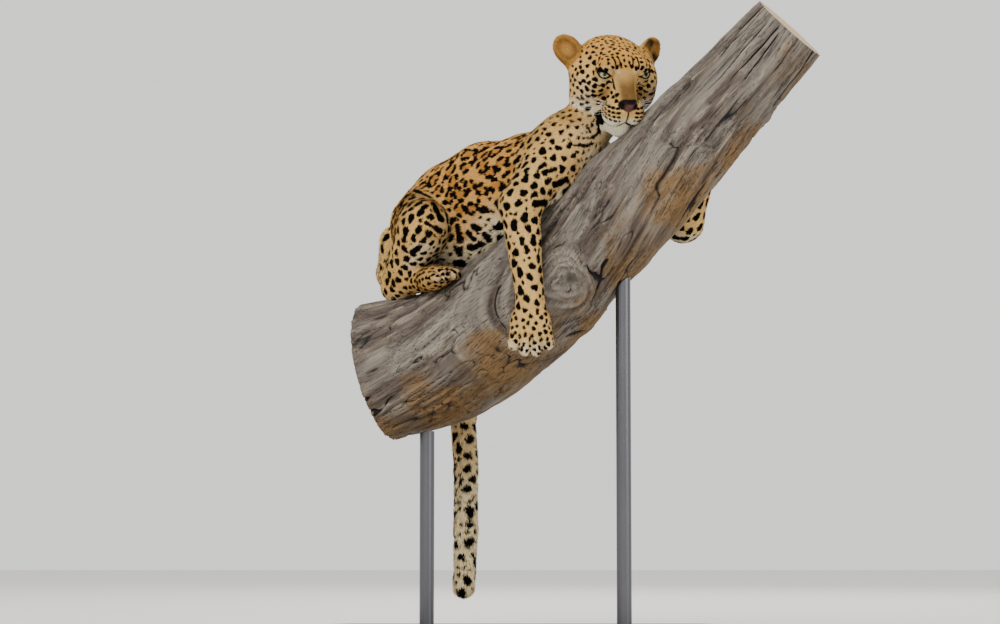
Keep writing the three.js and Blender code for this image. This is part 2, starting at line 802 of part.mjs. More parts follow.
// The branch: rings round its centreline, with a few shallow swells
function branchSolid() {
  const curve = new THREE.CatmullRomCurve3(branchLine.map((b) => vec(b.at)));
  const { rings, sides } = branchMesh;
  const points = [];
  const faces = [];
  for (let i = 0; i <= rings; i++) {
    const t = i / rings;
    const along = t * (branchLine.length - 1);
    const k = Math.min(branchLine.length - 2, Math.floor(along));
    const radius = mix(branchLine[k].radius, branchLine[k + 1].radius, along - k);
    const centre = curve.getPoint(t);
    const f = frameAt(centre.toArray(), curve.getTangent(t).toArray(), [0, 0, 1]);
    for (let j = 0; j < sides; j++) {
      const angle = (j / sides) * 2 * Math.PI;
      const swell = 1 + 0.02 * Math.sin(3 * angle + t * 5) + 0.015 * Math.sin(7 * t * Math.PI + angle);
      points.push(placed(f, [0, Math.cos(angle) * radius * swell, Math.sin(angle) * radius * swell]));
    }
  }
  for (let i = 0; i < rings; i++)
    for (let j = 0; j < sides; j++) {
      const a = i * sides + j;
      const b = i * sides + ((j + 1) % sides);
      faces.push([a, b, b + sides], [a, b + sides, a + sides]);
    }
  const ends = [0, rings].map((i) => {
    const ring = points.slice(i * sides, (i + 1) * sides);
    return points.push([0, 1, 2].map((k) => ring.reduce((s, p) => s + p[k], 0) / sides)) - 1;
  });
  for (let j = 0; j < sides; j++) {
    const next = (j + 1) % sides;
    faces.push([ends[0], next, j], [ends[1], rings * sides + j, rings * sides + next]);
  }
  return solidFrom({ points, faces });
}

const group = new THREE.Group();

function addNode(name, solid, colour, roughness, metalness = 0) {
  const material = new THREE.MeshStandardMaterial({ color: colour, roughness, metalness });
  const mesh = new THREE.Mesh(geometryFrom(solid), material);
  mesh.name = name;
  group.add(mesh);
  return mesh;
}

const coatColour = 0xc99a5b;
const branch = branchSolid();
let taken = grown(branch);

// The eyes sit in the head's carved openings
const eyes = {};
for (const [name, side] of [
  ["eye_right", -1],
  ["eye_left", 1],
]) {
  const ball = new THREE.SphereGeometry(eyeRadius, 14, 10);
  ball.translate(...placed(head, [eyeAt[0], side * eyeAt[1], eyeAt[2]]));
  eyes[name] = solidFromGeometry(ball);
  taken = taken.add(grown(eyes[name]));
}

const flesh = {};
for (const block of blocks) {
  const field = blockField(block);
  const mesh = meshField(field, blockBounds(block), block.cell);
  settle(mesh, field, block.cell);
  const solid = solidFrom(thin(mesh, block.triangles));
  const own = blockSolid(block, -partingGap / 2);
  flesh[block.node] = largest(solid.intersect(own).subtract(taken));
  taken = taken.add(blockSolid(block, partingGap / 2));
}

for (const [name, solid] of Object.entries(flesh)) addNode(name, solid, coatColour, 0.85);
for (const [name, solid] of Object.entries(eyes)) addNode(name, solid, 0x9aa37a, 0.1);
addNode("perch_branch", branch, 0x8d857b, 0.9);

// The stand: a flat plate with rounded corners, and two rods up to the branch
function plateSolid() {
  const { width, depth, thickness, corner, bevel } = base;
  const [w, d] = [width / 2 - bevel, depth / 2 - bevel];
  const outline = new THREE.Shape();
  outline.moveTo(-w + corner, -d);
  outline.lineTo(w - corner, -d);
  outline.absarc(w - corner, -d + corner, corner, -Math.PI / 2, 0);
  outline.absarc(w - corner, d - corner, corner, 0, Math.PI / 2);
  outline.absarc(-w + corner, d - corner, corner, Math.PI / 2, Math.PI);
  outline.absarc(-w + corner, -d + corner, corner, Math.PI, 1.5 * Math.PI);
  const plate = new THREE.ExtrudeGeometry(outline, {
    depth: thickness - 2 * bevel,
    bevelSize: bevel,
    bevelThickness: bevel,
    bevelSegments: 1,
    curveSegments: 5,
  });
  plate.translate(0, 0, bevel);
  return solidFromGeometry(plate);
}

addNode("stand_base", plateSolid(), 0x3b3431, 0.5);
const branchGrown = grown(branch);
for (const { name, x, y } of rodPlaces) {
  const bottom = base.thickness + partingGap;
  const bar = new THREE.CylinderGeometry(rod.radius, rod.radius, rod.length, rod.sides);
  bar.rotateX(Math.PI / 2);
  bar.translate(x, y, bottom + rod.length / 2);
  const pieces = solidFromGeometry(bar).subtract(branchGrown).decompose();
  const foot = (s) => s.boundingBox().min[2];
  const lowest = pieces.reduce((low, s) => (foot(s) < foot(low) ? s : low));
  addNode(name, lowest, 0x4a4a4c, 0.4, 0.8);
}

export default group;
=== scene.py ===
# A life-size leopard lying along a cut branch, on a display stand. Shapes are worked out in
# millimetres and turned into metres when a mesh is made.
import json
import math

import bmesh
import bpy
import numpy as np
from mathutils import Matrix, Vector
from mathutils.kdtree import KDTree

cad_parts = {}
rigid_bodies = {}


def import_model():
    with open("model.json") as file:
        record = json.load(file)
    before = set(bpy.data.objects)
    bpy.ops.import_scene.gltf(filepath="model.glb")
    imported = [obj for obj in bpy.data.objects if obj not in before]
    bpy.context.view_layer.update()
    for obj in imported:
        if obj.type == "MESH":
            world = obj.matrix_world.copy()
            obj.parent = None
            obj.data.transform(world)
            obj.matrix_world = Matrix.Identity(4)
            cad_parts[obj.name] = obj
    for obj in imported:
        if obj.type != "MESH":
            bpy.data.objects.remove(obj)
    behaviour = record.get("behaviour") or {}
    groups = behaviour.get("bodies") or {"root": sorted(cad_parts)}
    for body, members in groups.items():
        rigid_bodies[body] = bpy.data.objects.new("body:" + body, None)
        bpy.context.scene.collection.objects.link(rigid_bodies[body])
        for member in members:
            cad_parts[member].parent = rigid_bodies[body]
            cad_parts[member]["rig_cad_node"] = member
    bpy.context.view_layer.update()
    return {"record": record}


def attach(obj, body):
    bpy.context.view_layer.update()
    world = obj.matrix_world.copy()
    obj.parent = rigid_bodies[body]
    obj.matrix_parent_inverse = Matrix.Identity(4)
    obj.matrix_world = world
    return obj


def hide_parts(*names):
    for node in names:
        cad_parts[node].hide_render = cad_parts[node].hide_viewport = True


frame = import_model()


# Camera: the photograph's place and angle

camera = {
    "aim": (-0.050, -0.090, 0.655),  # the point in the middle of the view
    "distance": 5.0,
    "pitch": 5.0,  # degrees, looking up
    "lens": 90.0,
}


def makeCamera():
    data = bpy.data.cameras.new("camera")
    data.lens = camera["lens"]
    data.sensor_width = 36
    data.clip_end = 60
    eye = bpy.data.objects.new("camera", data)
    pitch = math.radians(camera["pitch"])
    ahead = Vector((0, math.cos(pitch), math.sin(pitch)))
    eye.location = Vector(camera["aim"]) - ahead * camera["distance"]
    eye.rotation_euler = (math.pi / 2 + pitch, 0, 0)
    bpy.context.scene.collection.objects.link(eye)
    bpy.context.scene.camera = eye


makeCamera()
print("camera set")


# Small helpers for places, noise and meshes


def unit(v):
    v = np.asarray(v, float)
    return v / np.linalg.norm(v, axis=-1, keepdims=True)


def frameAt(origin, forward, up):
    x = unit(forward)
    y = unit(np.cross(up, x))
    return np.asarray(origin, float), np.array([x, y, np.cross(x, y)])


def placed(place, local):
    return place[0] + np.asarray(local, float) @ place[1]


def turned(place, local):
    return np.asarray(local, float) @ place[1]


def within(place, points):
    return (points - place[0]) @ place[1].T


def smooth(x, low, high):
    t = np.clip((x - low) / (high - low), 0, 1)
    return t * t * (3 - 2 * t)


def lattice(cells):  # a fixed random value for each cell of a grid
    n = cells[..., 0] * 374761393 + cells[..., 1] * 668265263 + cells[..., 2] * 2147483647
    n = (n ^ (n >> 13)) * 1274126177
    return ((n ^ (n >> 16)) & 0xFFFF) / 65535.0


def noise(points, size, seed=0, octaves=1):  # smooth noise between -1 and 1
    total = np.zeros(points.shape[:-1])
    strength = 1.0
    for octave in range(octaves):
        p = points / size + seed * 17.3 + octave * 5.1
        cell = np.floor(p).astype(np.int64)
        f = p - cell
        f = f * f * (3 - 2 * f)
        value = 0
        for corner in range(8):
            step = np.array([corner & 1, (corner >> 1) & 1, corner >> 2])
            weight = np.prod(np.where(step, f, 1 - f), axis=-1)
            value = value + weight * lattice(cell + step)
        total += (value * 2 - 1) * strength
        strength *= 0.5
        size = size * 0.5
    return total


def makeObject(name, points, faces):  # points in mm
    mesh = bpy.data.meshes.new(name)
    if isinstance(faces, np.ndarray):
        count, sides = faces.shape
        mesh.vertices.add(len(points))
        mesh.vertices.foreach_set("co", (np.asarray(points) * 0.001).astype(np.float32).ravel())
        mesh.loops.add(count * sides)
        mesh.loops.foreach_set("vertex_index", faces.astype(np.int32).ravel())
        mesh.polygons.add(count)
        mesh.polygons.foreach_set("loop_start", np.arange(count, dtype=np.int32) * sides)
        mesh.update(calc_edges=True)
    else:
        mesh.from_pydata([tuple(p) for p in np.asarray(points) * 0.001], [], faces)
    mesh.polygons.foreach_set("use_smooth", np.full(len(mesh.polygons), True))
    made = bpy.data.objects.new(name, mesh)
    bpy.context.scene.collection.objects.link(made)
    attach(made, "root")
    return made


def setField(mesh, name, values, kind="FLOAT"):
    data = mesh.attributes.new(name, kind, "POINT").data
    data.foreach_set("value" if kind == "FLOAT" else "vector", np.asarray(values, np.float32).ravel())


def bothSides(table):  # a name with a star stands for the right one and the left one
    full = {}
    for name, value in table.items():
        for side in ("right", "left") if "*" in name else ("",):
            full[name.replace("*", side)] = value
    return full


# Masses: the flesh as rounded forms, each blending into the next over a width

masses = []
coatDepth = bothSides({  # how far the skin lies under the outline of the fur, in mm
    "head": 2.5, "lid": 0.0, "ear_*": 1.2, "neck": 6, "torso": 6, "foreleg_*_upper": 5,
    "foreleg_*_lower": 3.5, "forepaw_*": 2, "hindleg_*_thigh": 5, "hindleg_*_shank": 3.5,
    "hindfoot_*": 2, "tail_root": 4.5, "tail_middle": 5, "tail_tip": 5.5,
})


def addMass(node, blend, reach, centre, distance, carve, lie):
    masses.append({
        "node": node, "blend": blend, "reach": reach, "centre": np.asarray(centre, float),
        "distance": distance, "carve": carve, "lie": np.asarray(lie, float),
    })


def limb(node, a, b, radiusA, radiusB, blend=18, carve=False, lie=None):
    a = np.asarray(a, float)
    ab = np.asarray(b, float) - a
    depth = 0 if carve else coatDepth[node]
    radiusA, radiusB = radiusA - depth, radiusB - depth

    def distance(p):
        t = np.clip(((p - a) @ ab) / (ab @ ab), 0, 1)
        return np.linalg.norm(p - a - t[..., None] * ab, axis=-1) - (radiusA + (radiusB - radiusA) * t)

    reach = np.linalg.norm(ab) / 2 + max(radiusA, radiusB)
    addMass(node, blend, reach, a + ab / 2, distance, carve, unit(ab) if lie is None else unit(lie))


def egg(node, place, local, radii, blend=18, carve=False, lie=None):
    centre = placed(place, local)
    depth = 0 if carve else coatDepth[node]
    sizes = np.asarray(radii, float) - depth
    axes = place[1]

    def distance(p):
        q = ((p - centre) @ axes.T) / sizes
        near = np.linalg.norm(q, axis=-1)
        far = np.linalg.norm(q / sizes, axis=-1) + 1e-9
        return near * (near - 1) / far

    addMass(node, blend, max(sizes), centre, distance, carve, -axes[0] if lie is None else unit(lie))


def chain(node, line, blend):
    for (a, radiusA), (b, radiusB) in zip(line, line[1:]):
        limb(node, a, b, radiusA, radiusB, blend)


# Body: joints of the skeleton and the masses round them

joints = {
    "pelvis": (-198, 158, 842), "loin": (-152, 105, 894), "belly": (-77, 35, 908),
    "chest": (5, -35, 932), "brisket": (57, -80, 947), "neckLow": (101, -98, 1001),
    "neckHigh": (156, -72, 1074),
}
legs = {
    "foreRight": {"shoulder": (72, -105, 985), "elbow": (-11, -180, 857), "wrist": (9, -170, 674)},
    "foreLeft": {"shoulder": (135, 15, 962), "elbow": (328, 62, 854), "wrist": (386, -2, 1029)},
    "hindRight": {"hip": (-204, 126, 862), "knee": (-204, -28, 836), "hock": (-263, 70, 722)},
    "hindLeft": {"hip": (-212, 192, 868), "knee": (-172, 318, 850), "hock": (-190, 268, 742)},
}
forepaw = {"length": 120, "width": 90, "depth": 56, "toe": 15}
hindfoot = {"length": 96, "width": 74, "depth": 46, "toe": 12}
pawPlan = {  # shares of a paw's width for the toes and the gaps between them
    "toes": (-0.36, -0.13, 0.13, 0.36), "gaps": (-0.245, 0, 0.245),
    "round": 0.42,  # how much shorter the outer toes are
}
pawPlaces = {
    "forepaw_right": (frameAt((9, -170, 674), (0.01, 0.02, -1), (0, -1, 0)), forepaw),
    "forepaw_left": (frameAt((386, -2, 1029), (0.35, -0.35, 0.85), (0.2, 1, 0.3)), forepaw),
    "hindfoot_right": (frameAt((-205, -4, 727), (0.62, -0.72, 0.08), (0, -0.35, 1)), hindfoot),
    "hindfoot_left": (frameAt((-150, 230, 738), (0.78, -0.52, 0.1), (0, 0.4, 1)), hindfoot),
}
tailLine = [
    ((-268, 215, 830), 40), ((-281, 256, 770), 34), ((-246, 280, 680), 31),
    ((-178, 268, 572), 30), ((-129, 247, 464), 28.5), ((-122, 235, 347), 27.5),
    ((-122, 230, 221), 27), ((-126, 226, 104), 25),
]


def makeHeadFrame(at, yaw, pitch, roll):
    yaw, pitch, roll = (math.radians(a) for a in (yaw - 90, pitch, roll))
    turnZ = np.array([
        [math.cos(yaw), -math.sin(yaw), 0], [math.sin(yaw), math.cos(yaw), 0], [0, 0, 1],
    ])
    turnY = np.array([
        [math.cos(pitch), 0, math.sin(pitch)], [0, 1, 0], [-math.sin(pitch), 0, math.cos(pitch)],
    ])
    turnX = np.array([
        [1, 0, 0], [0, math.cos(roll), -math.sin(roll)], [0, math.sin(roll), math.cos(roll)],
    ])
    return np.asarray(at, float), (turnZ @ turnY @ turnX).T


head = makeHeadFrame((175, -117, 1128), yaw=20, pitch=34, roll=3.5)


def buildTrunk():
    spine = unit(np.subtract(joints["chest"], joints["loin"]))

    def at(point):
        return frameAt(point, spine, (0, 0, 1))

    egg("torso", at(joints["pelvis"]), (0, 0, 0), (84, 78, 78), 30)
    egg("torso", at(joints["loin"]), (0, 0, 0), (100, 86, 96), 40)
    egg("torso", at(joints["belly"]), (0, 0, -8), (114, 92, 124), 40)
    egg("torso", at(joints["chest"]), (0, 0, -9), (105, 92, 107), 40)
    egg("torso", at(joints["brisket"]), (0, 0, -10), (72, 80, 86), 36)
    egg("torso", at((-128, 62, 826)), (0, 0, 0), (92, 62, 78), 40)
    down = np.subtract(joints["neckLow"], joints["neckHigh"])
    limb("neck", joints["neckLow"], joints["neckHigh"], 56, 57, 28, lie=down)
    limb("neck", joints["brisket"], joints["neckLow"], 70, 56, 28, lie=down)


def buildLegs():
    fore, foreFar = legs["foreRight"], legs["foreLeft"]
    blade = frameAt((66, -112, 985), (-0.5, -0.45, -0.8), (0, -1, 0.3))
    egg("foreleg_right_upper", blade, (0, 0, 0), (88, 52, 44), 30, lie=blade[1][0])
    limb("foreleg_right_upper", fore["shoulder"], fore["elbow"], 56, 42, 26)
    limb("foreleg_right_lower", fore["elbow"], fore["wrist"], 41, 31, 18)
    blade = frameAt((148, -4, 962), (0.62, 0.3, -0.6), (0.2, 1, 0.3))
    egg("foreleg_left_upper", blade, (0, 0, 0), (82, 50, 54), 30, lie=blade[1][0])
    limb("foreleg_left_upper", foreFar["shoulder"], foreFar["elbow"], 58, 42, 30)
    limb("foreleg_left_lower", foreFar["elbow"], foreFar["wrist"], 41, 31, 18)
    near, far = legs["hindRight"], legs["hindLeft"]
    limb("hindleg_right_thigh", near["hip"], near["knee"], 70, 48, 30)
    ham = frameAt((-212, 54, 838), (0.05, -0.95, -0.2), (0, 0, 1))
    egg("hindleg_right_thigh", ham, (0, 0, 0), (96, 62, 74), 30, lie=ham[1][0])
    limb("hindleg_right_shank", near["knee"], near["hock"], 52, 36, 24)
    limb("hindfoot_right", near["hock"], (-190, -25, 728), 27, 25, 14)
    limb("hindleg_left_thigh", far["hip"], far["knee"], 70, 48, 30)
    ham = frameAt((-196, 240, 852), (0.3, 0.95, -0.15), (0, 0, 1))
    egg("hindleg_left_thigh", ham, (0, 0, 0), (98, 64, 76), 30, lie=ham[1][0])
    limb("hindleg_left_shank", far["knee"], far["hock"], 52, 36, 24)
    limb("hindfoot_left", far["hock"], (-140, 225, 738), 27, 25, 14)
    for node, (place, size) in pawPlaces.items():
        length, width, depth, toe = (size[k] for k in ("length", "width", "depth", "toe"))
        ahead = place[1][0]
        egg(node, place, (length * 0.42, 0, 0), (length * 0.42, width * 0.47, depth * 0.5), 16, lie=ahead)
        for offset in pawPlan["toes"]:
            reach = 1 - abs(offset) * pawPlan["round"]
            knuckle = placed(place, (length * 0.55, offset * width * 0.86, depth * 0.1))
            tip = placed(place, (length * reach - toe, offset * width, -depth * 0.06))
            limb(node, knuckle, tip, toe * 1.02, toe, 3)
        for gap in pawPlan["gaps"]:
            reach = 1 - abs(gap) * pawPlan["round"]
            upper = placed(place, (length * 0.60, gap * width, depth * 0.40))
            lower = placed(place, (length * reach, gap * width, -depth * 0.1))
            limb(node, upper, lower, 2.4, 4.2, 4, True)


def buildTail():
    chain("tail_root", tailLine[:3], 5)
    chain("tail_middle", tailLine[2:6], 5)
    chain("tail_tip", tailLine[5:], 5)


# Head: skull, cheeks, muzzle, lids, nose and mouth, all in the head's own frame

face = {
    "eyeAt": (51, 39, 31),
    "eyeRadius": 16.5,
    "lidRadius": 18.6,
    "gaze": (0.93, 0.0, 0.08),  # the eyes' direction in the head's frame
    "opening": (14.5, 6.8),  # half width and half height of the eye opening
    "lidTurn": 0.42,  # how far each opening faces outwards
    "slant": 0.12,
    "lip": [(114, 0, -52), (106, 15, -62), (86, 31, -63), (56, 41, -55)],
    "nostril": [(121, 7, -17), (112, 11, -14), (119, 10, -14), (108, 18, -13)],
    "cheekPush": 10,  # how far the branch presses the left side of the head out
    "ears": {  # by side: root, the way the ear points, and the way its opening faces
        -1: ((-31, -64, 16), (-0.62, -0.6, 0.55), (0.78, -0.5, 0.5)),
        1: ((-26, 70, 24), (-0.66, 0.69, 0.3), (0.75, 0.5, 0.2)),
    },
}


def lidPlace(side):
    at = placed(head, (face["eyeAt"][0], side * face["eyeAt"][1], face["eyeAt"][2]))
    ahead = turned(head, (0.9, side * face["lidTurn"], 0.02))
    up = turned(head, (0.05, -side * face["slant"], 1))  # the outer corners are higher than the inner ones
    return frameAt(at, ahead, up)


def openingDistance(place, p):  # to the almond of an eye opening, seen along the eye
    q = within(place, p)
    wide, high = face["opening"]
    across = q[..., 1] / wide
    edge = high * (1 - across * across)
    lower = -q[..., 2] - edge * 0.92
    upper = q[..., 2] - edge * 0.80
    flat = np.maximum(lower, upper) / np.sqrt(1 + (2 * high * across / wide) ** 2)
    return np.maximum(flat, 6 - q[..., 0])


def buildHead():
    h = head
    back = -head[1][0]
    push = face["cheekPush"]
    egg("head", h, (-22, push / 2, 13), (84, 70 + push / 2, 58), 20)
    egg("head", h, (28, 0, 36), (44, 44, 32), 22)
    limb("head", placed(h, (40, 0, 24)), placed(h, (96, 0, -10)), 31, 21, 20, lie=back)
    egg("head", h, (72, 0, -34), (44, 32, 34), 16)
    egg("head", h, (84, 0, -74), (23, 23, 22), 12)
    egg("head", h, (34, 0, -58), (52, 38, 30), 18)
    egg("head", h, (113, 0, -13), (9, 17, 10), 5)
    for side in (-1, 1):
        cheek = side * 50 + (push if side > 0 else 0)
        egg("head", h, (87, side * 21, -40), (31, 23, 27), 9)
        jaw = placed(h, (-10, side * 44, -52)), placed(h, (66, side * 12, -68))
        limb("head", *jaw, 25, 20, 16, lie=back)
        egg("head", h, (0, cheek, -20), (54, 34, 56), 22)
        bone = placed(h, (44, cheek - side * 3, 6)), placed(h, (-20, cheek + side * 12, 2))
        limb("head", *bone, 19, 22, 18, lie=back)
        egg("head", h, (50, side * 31, 48), (24, 20, 14), 12)
        ball = placed(h, (face["eyeAt"][0], side * face["eyeAt"][1], face["eyeAt"][2]))
        limb("lid", ball, ball + h[1][0] * 0.1, face["lidRadius"], face["lidRadius"], 6, lie=back)
        place = lidPlace(side)
        wide = face["opening"][0]
        fold = [(15.5 - 4 * u * u, u * wide * 1.05, 7.6 - 3.5 * u * u) for u in (-0.9, 0, 0.9)]
        for a, b in zip(fold, fold[1:]):
            limb("lid", placed(place, a), placed(place, b), 2.6, 2.6, 5, lie=back)
    for side in (-1, 1):
        place = lidPlace(side)
        reach = face["opening"][0] + 8
        addMass("head", 1.6, reach, placed(place, (14, 0, 0)),
                lambda p, place=place: openingDistance(place, p), True, back)
        nostril = [placed(h, (x, side * y, z)) for x, y, z in face["nostril"]]
        limb("head", nostril[0], nostril[1], 3.6, 3.2, 1.5, True)
        limb("head", nostril[2], nostril[3], 2.6, 1.6, 1.5, True)
        lip = [(x, side * y, z) for x, y, z in face["lip"]]
        for a, b in zip(lip, lip[1:]):
            limb("head", placed(h, a), placed(h, b), 2.6, 2.6, 3, True)
    limb("head", placed(h, (122.5, 0, -21)), placed(h, (117, 0, -53)), 2.2, 2.4, 3, True)


def earPlace(side):  # a frame with x out of the ear's opening and z along the ear
    root, along, facing = face["ears"][side]
    z, x = unit(turned(head, along)), turned(head, facing)
    return frameAt(placed(head, root), x - z * (x @ z), z)


def buildEars():
    for side, node in ((-1, "ear_right"), (1, "ear_left")):
        ear = earPlace(side)
        egg(node, ear, (0, 0, 32), (15, 27, 34), 12, lie=ear[1][2])
        egg(node, ear, (2, 0, 8), (17, 23, 26), 12, lie=ear[1][2])
        egg(node, ear, (15, 0, 34), (15, 20, 26), 4, True, lie=ear[1][2])


# Branch: its centreline, as round cones for cutting the flesh, and later its own mesh

branch = {
    "line": [
        ((-299, 110, 547), 146), ((-143, 60, 586), 138), ((11, -5, 691), 130),
        ((118, -55, 794), 121), ((215, -100, 885), 110), ((308, -140, 974), 101),
        ((411, -185, 1085), 88), ((519, -230, 1202), 80),
    ],
    "sunk": 8,  # how far flesh may press into the nominal wood, in mm
    "around": 360,
    "along": 470,
}


def branchPoint(t):  # centre and tangent of the centreline at t from 0 to 1, as a Catmull-Rom spline
    knots = np.array([at for at, radius in branch["line"]], float)
    radii = np.array([radius for at, radius in branch["line"]], float)
    first = 2 * knots[0] - knots[1]
    last = 2 * knots[-1] - knots[-2]
    k = np.vstack([first, knots, last])
    along = np.clip(np.asarray(t, float), 0, 1) * (len(knots) - 1)
    i = np.minimum(along.astype(int), len(knots) - 2)
    f = (along - i)[..., None]
    p0, p1, p2, p3 = (k[i + n] for n in range(4))
    centre = 0.5 * (
        2 * p1 + (p2 - p0) * f + (2 * p0 - 5 * p1 + 4 * p2 - p3) * f**2
        + (3 * p1 - p0 - 3 * p2 + p3) * f**3
    )
    tangent = 0.5 * (
        (p2 - p0) + 2 * (2 * p0 - 5 * p1 + 4 * p2 - p3) * f + 3 * (3 * p1 - p0 - 3 * p2 + p3) * f**2
    )
    return centre, unit(tangent), radii[i] + (radii[i + 1] - radii[i]) * (along - i)


branchSteps = [branchPoint(t)[::2] for t in np.linspace(0, 1, 17)]


def branchDistance(p):
    nearest = np.full(p.shape[:-1], 1e6)
    for (a, radiusA), (b, radiusB) in zip(branchSteps, branchSteps[1:]):
        ab = b - a
        t = np.clip(((p - a) @ ab) / (ab @ ab), 0, 1)
        away = np.linalg.norm(p - a - t[..., None] * ab, axis=-1)
        nearest = np.minimum(nearest, away - (radiusA + (radiusB - radiusA) * t))
    return nearest


buildTrunk()
buildHead()
buildEars()
buildLegs()
buildTail()
masses.sort(key=lambda m: m["carve"])
print("masses placed:", len(masses))


# Skin: groups of masses melt together, and the groups only touch

groups = [
    ["torso", "neck", "head", "lid", "ear_right", "ear_left", "foreleg_right_upper",
     "foreleg_left_upper", "hindleg_right_thigh", "hindleg_left_thigh", "tail_root"],
    ["foreleg_right_upper", "foreleg_right_lower", "forepaw_right"],
    ["foreleg_left_upper", "foreleg_left_lower", "forepaw_left"],
    ["hindleg_right_thigh", "hindleg_right_shank", "hindfoot_right"],
    ["hindleg_left_thigh", "hindleg_left_shank", "hindfoot_left"],
    ["tail_root", "tail_middle", "tail_tip"],
]
skin = {
    "cell": 5.3, "crease": 5, "relief": 1.6, "reliefSize": 46,
    "block": 12,  # cells worked out together
    "low": np.array((-345.0, -262.0, 70.0)), "high": np.array((480.0, 395.0, 1215.0)),
}


def melt(a, b, width):
    h = np.maximum(width - np.abs(a - b), 0) / width
    return np.minimum(a, b) - h * h * width / 4


def groupField(points, group):
    field = np.full(len(points), 1e3)
    for m in masses:
        if m["node"] not in group:
            continue
        near = np.linalg.norm(points - m["centre"], axis=-1) < m["reach"] + (9 if m["carve"] else 50)
        if not near.any():
            continue
        d = m["distance"](points[near])
        if m["carve"]:
            field[near] = -melt(-field[near], d, m["blend"])
        else:
            field[near] = melt(field[near], d, m["blend"])
    return field


def skinField(points):
    field = np.full(len(points), 1e3)
    for group in groups:
        field = melt(field, groupField(points, group), skin["crease"])
    near = np.abs(field) < 20
    close = points[near]
    relief = noise(close, skin["reliefSize"], 3, 2) * skin["relief"]
    calm = 1 - 0.8 * (1 - smooth(np.linalg.norm(close - head[0], axis=-1), 100, 130))
    field[near] += relief * calm
    near = field < 30
    field[near] = np.maximum(field[near], -(branchDistance(points[near]) + branch["sunk"]))
    return field


def gridField(low, high, cell):  # the skin's field on a grid, worked out in blocks near the flesh
    counts = np.ceil((high - low) / cell).astype(int) + 1
    axes = [low[i] + cell * np.arange(counts[i]) for i in range(3)]
    field = np.full(counts, 1e3, np.float32)
    block = skin["block"]
    centres = np.array([m["centre"] for m in masses if not m["carve"]])
    reaches = np.array([m["reach"] for m in masses if not m["carve"]])
    spread = block * cell * 0.87  # half of a block's diagonal
    for i in range(0, counts[0], block):
        for j in range(0, counts[1], block):
            for k in range(0, counts[2], block):
                middle = np.array([axes[0][i], axes[1][j], axes[2][k]]) + block * cell / 2
                away = np.linalg.norm(centres - middle, axis=1) - reaches
                if away.min() > spread + 8:
                    continue
                part = [axes[0][i:i + block], axes[1][j:j + block], axes[2][k:k + block]]
                points = np.stack(np.meshgrid(*part, indexing="ij"), -1)
                value = skinField(points.reshape(-1, 3)).reshape(points.shape[:3])
                field[i:i + block, j:j + block, k:k + block] = value
    return field


def surfaceNet(field, low, cell):  # one point in each cell that the surface crosses, joined by quads
    inside = field < 0
    nx, ny, nz = (n - 1 for n in field.shape)
    corners = [(c & 1, (c >> 1) & 1, c >> 2) for c in range(8)]
    count = sum(inside[a:a + nx, b:b + ny, c:c + nz].astype(np.uint8) for a, b, c in corners)
    cells = np.argwhere((count > 0) & (count < 8))
    index = np.full((nx, ny, nz), -1, np.int64)
    index[tuple(cells.T)] = np.arange(len(cells))
    values = np.stack([field[tuple((cells + c).T)] for c in corners], -1)
    total = np.zeros((len(cells), 3))
    crossings = np.zeros(len(cells))
    for a in range(8):
        for axis in (1, 2, 4):
            if a & axis:
                continue
            b = a | axis
            va, vb = values[:, a], values[:, b]
            cut = (va < 0) != (vb < 0)
            t = np.where(cut, va / np.where(cut, va - vb, 1), 0)[:, None]
            spot = np.array(corners[a]) + t * (np.array(corners[b]) - corners[a])
            total += np.where(cut[:, None], spot, 0)
            crossings += cut
    points = low + (cells + total / crossings[:, None]) * cell
    faces = []
    for axis in range(3):
        ahead = np.roll(np.eye(3, dtype=int)[0], axis)
        side, other = np.roll(ahead, 1), np.roll(ahead, 2)
        span = [slice(1, -1)] * 3
        span[axis] = slice(0, -1)
        here = inside[tuple(span)]
        shifted = list(span)
        shifted[axis] = slice(1, None)
        there = inside[tuple(shifted)]
        edges = np.argwhere(here != there) + (1 - ahead)
        outwards = here[tuple((edges - (1 - ahead)).T)]
        ring = [edges - side - other, edges - other, edges, edges - side]
        quad = np.stack([index[tuple(r.T)] for r in ring], -1)
        quad[~outwards] = quad[~outwards][:, ::-1]
        faces.append(quad)
    return points, np.vstack(faces)


def settle(points, rounds=2, reach=2.0):
    step = 0.35
    for _ in range(rounds):
        value = skinField(points)
        slope = np.stack([
            (skinField(points + step * axis) - value) / step for axis in np.eye(3)
        ], -1)
        slope /= np.maximum((slope**2).sum(-1, keepdims=True), 0.2)
        points -= np.clip(value, -reach, reach)[:, None] * slope
    return points


def refined(points, faces, chosen):  # splits each quad that has a chosen point into four
    mesh = bmesh.new()
    verts = [mesh.verts.new(p) for p in points]
    for face in faces:
        mesh.faces.new([verts[i] for i in face])
    mesh.verts.index_update()
    edges = [e for e in mesh.edges if chosen[e.verts[0].index] or chosen[e.verts[1].index]]
    bmesh.ops.subdivide_edges(mesh, edges=edges, cuts=1, use_grid_fill=True)
    mesh.verts.index_update()
    madePoints = np.array([v.co for v in mesh.verts])
    madeFaces = [[v.index for v in f.verts] for f in mesh.faces]
    mesh.free()
    return madePoints, madeFaces


def pieceOf(points, faces):  # keeps the part of the mesh that holds most of the points
    label = np.arange(len(points))
    for _ in range(200):
        low = np.min(label[faces], axis=1)
        before = label.copy()
        for corner in range(4):
            np.minimum.at(label, faces[:, corner], low)
        label = label[label]
        if (label == before).all():
            break
    main = np.bincount(label).argmax()
    kept = label == main
    index = np.cumsum(kept) - 1
    return points[kept], index[faces[kept[faces[:, 0]]]]


grid = gridField(skin["low"], skin["high"], skin["cell"])
points, faces = pieceOf(*surfaceNet(grid, skin["low"], skin["cell"]))
print("first net:", len(points), "points")


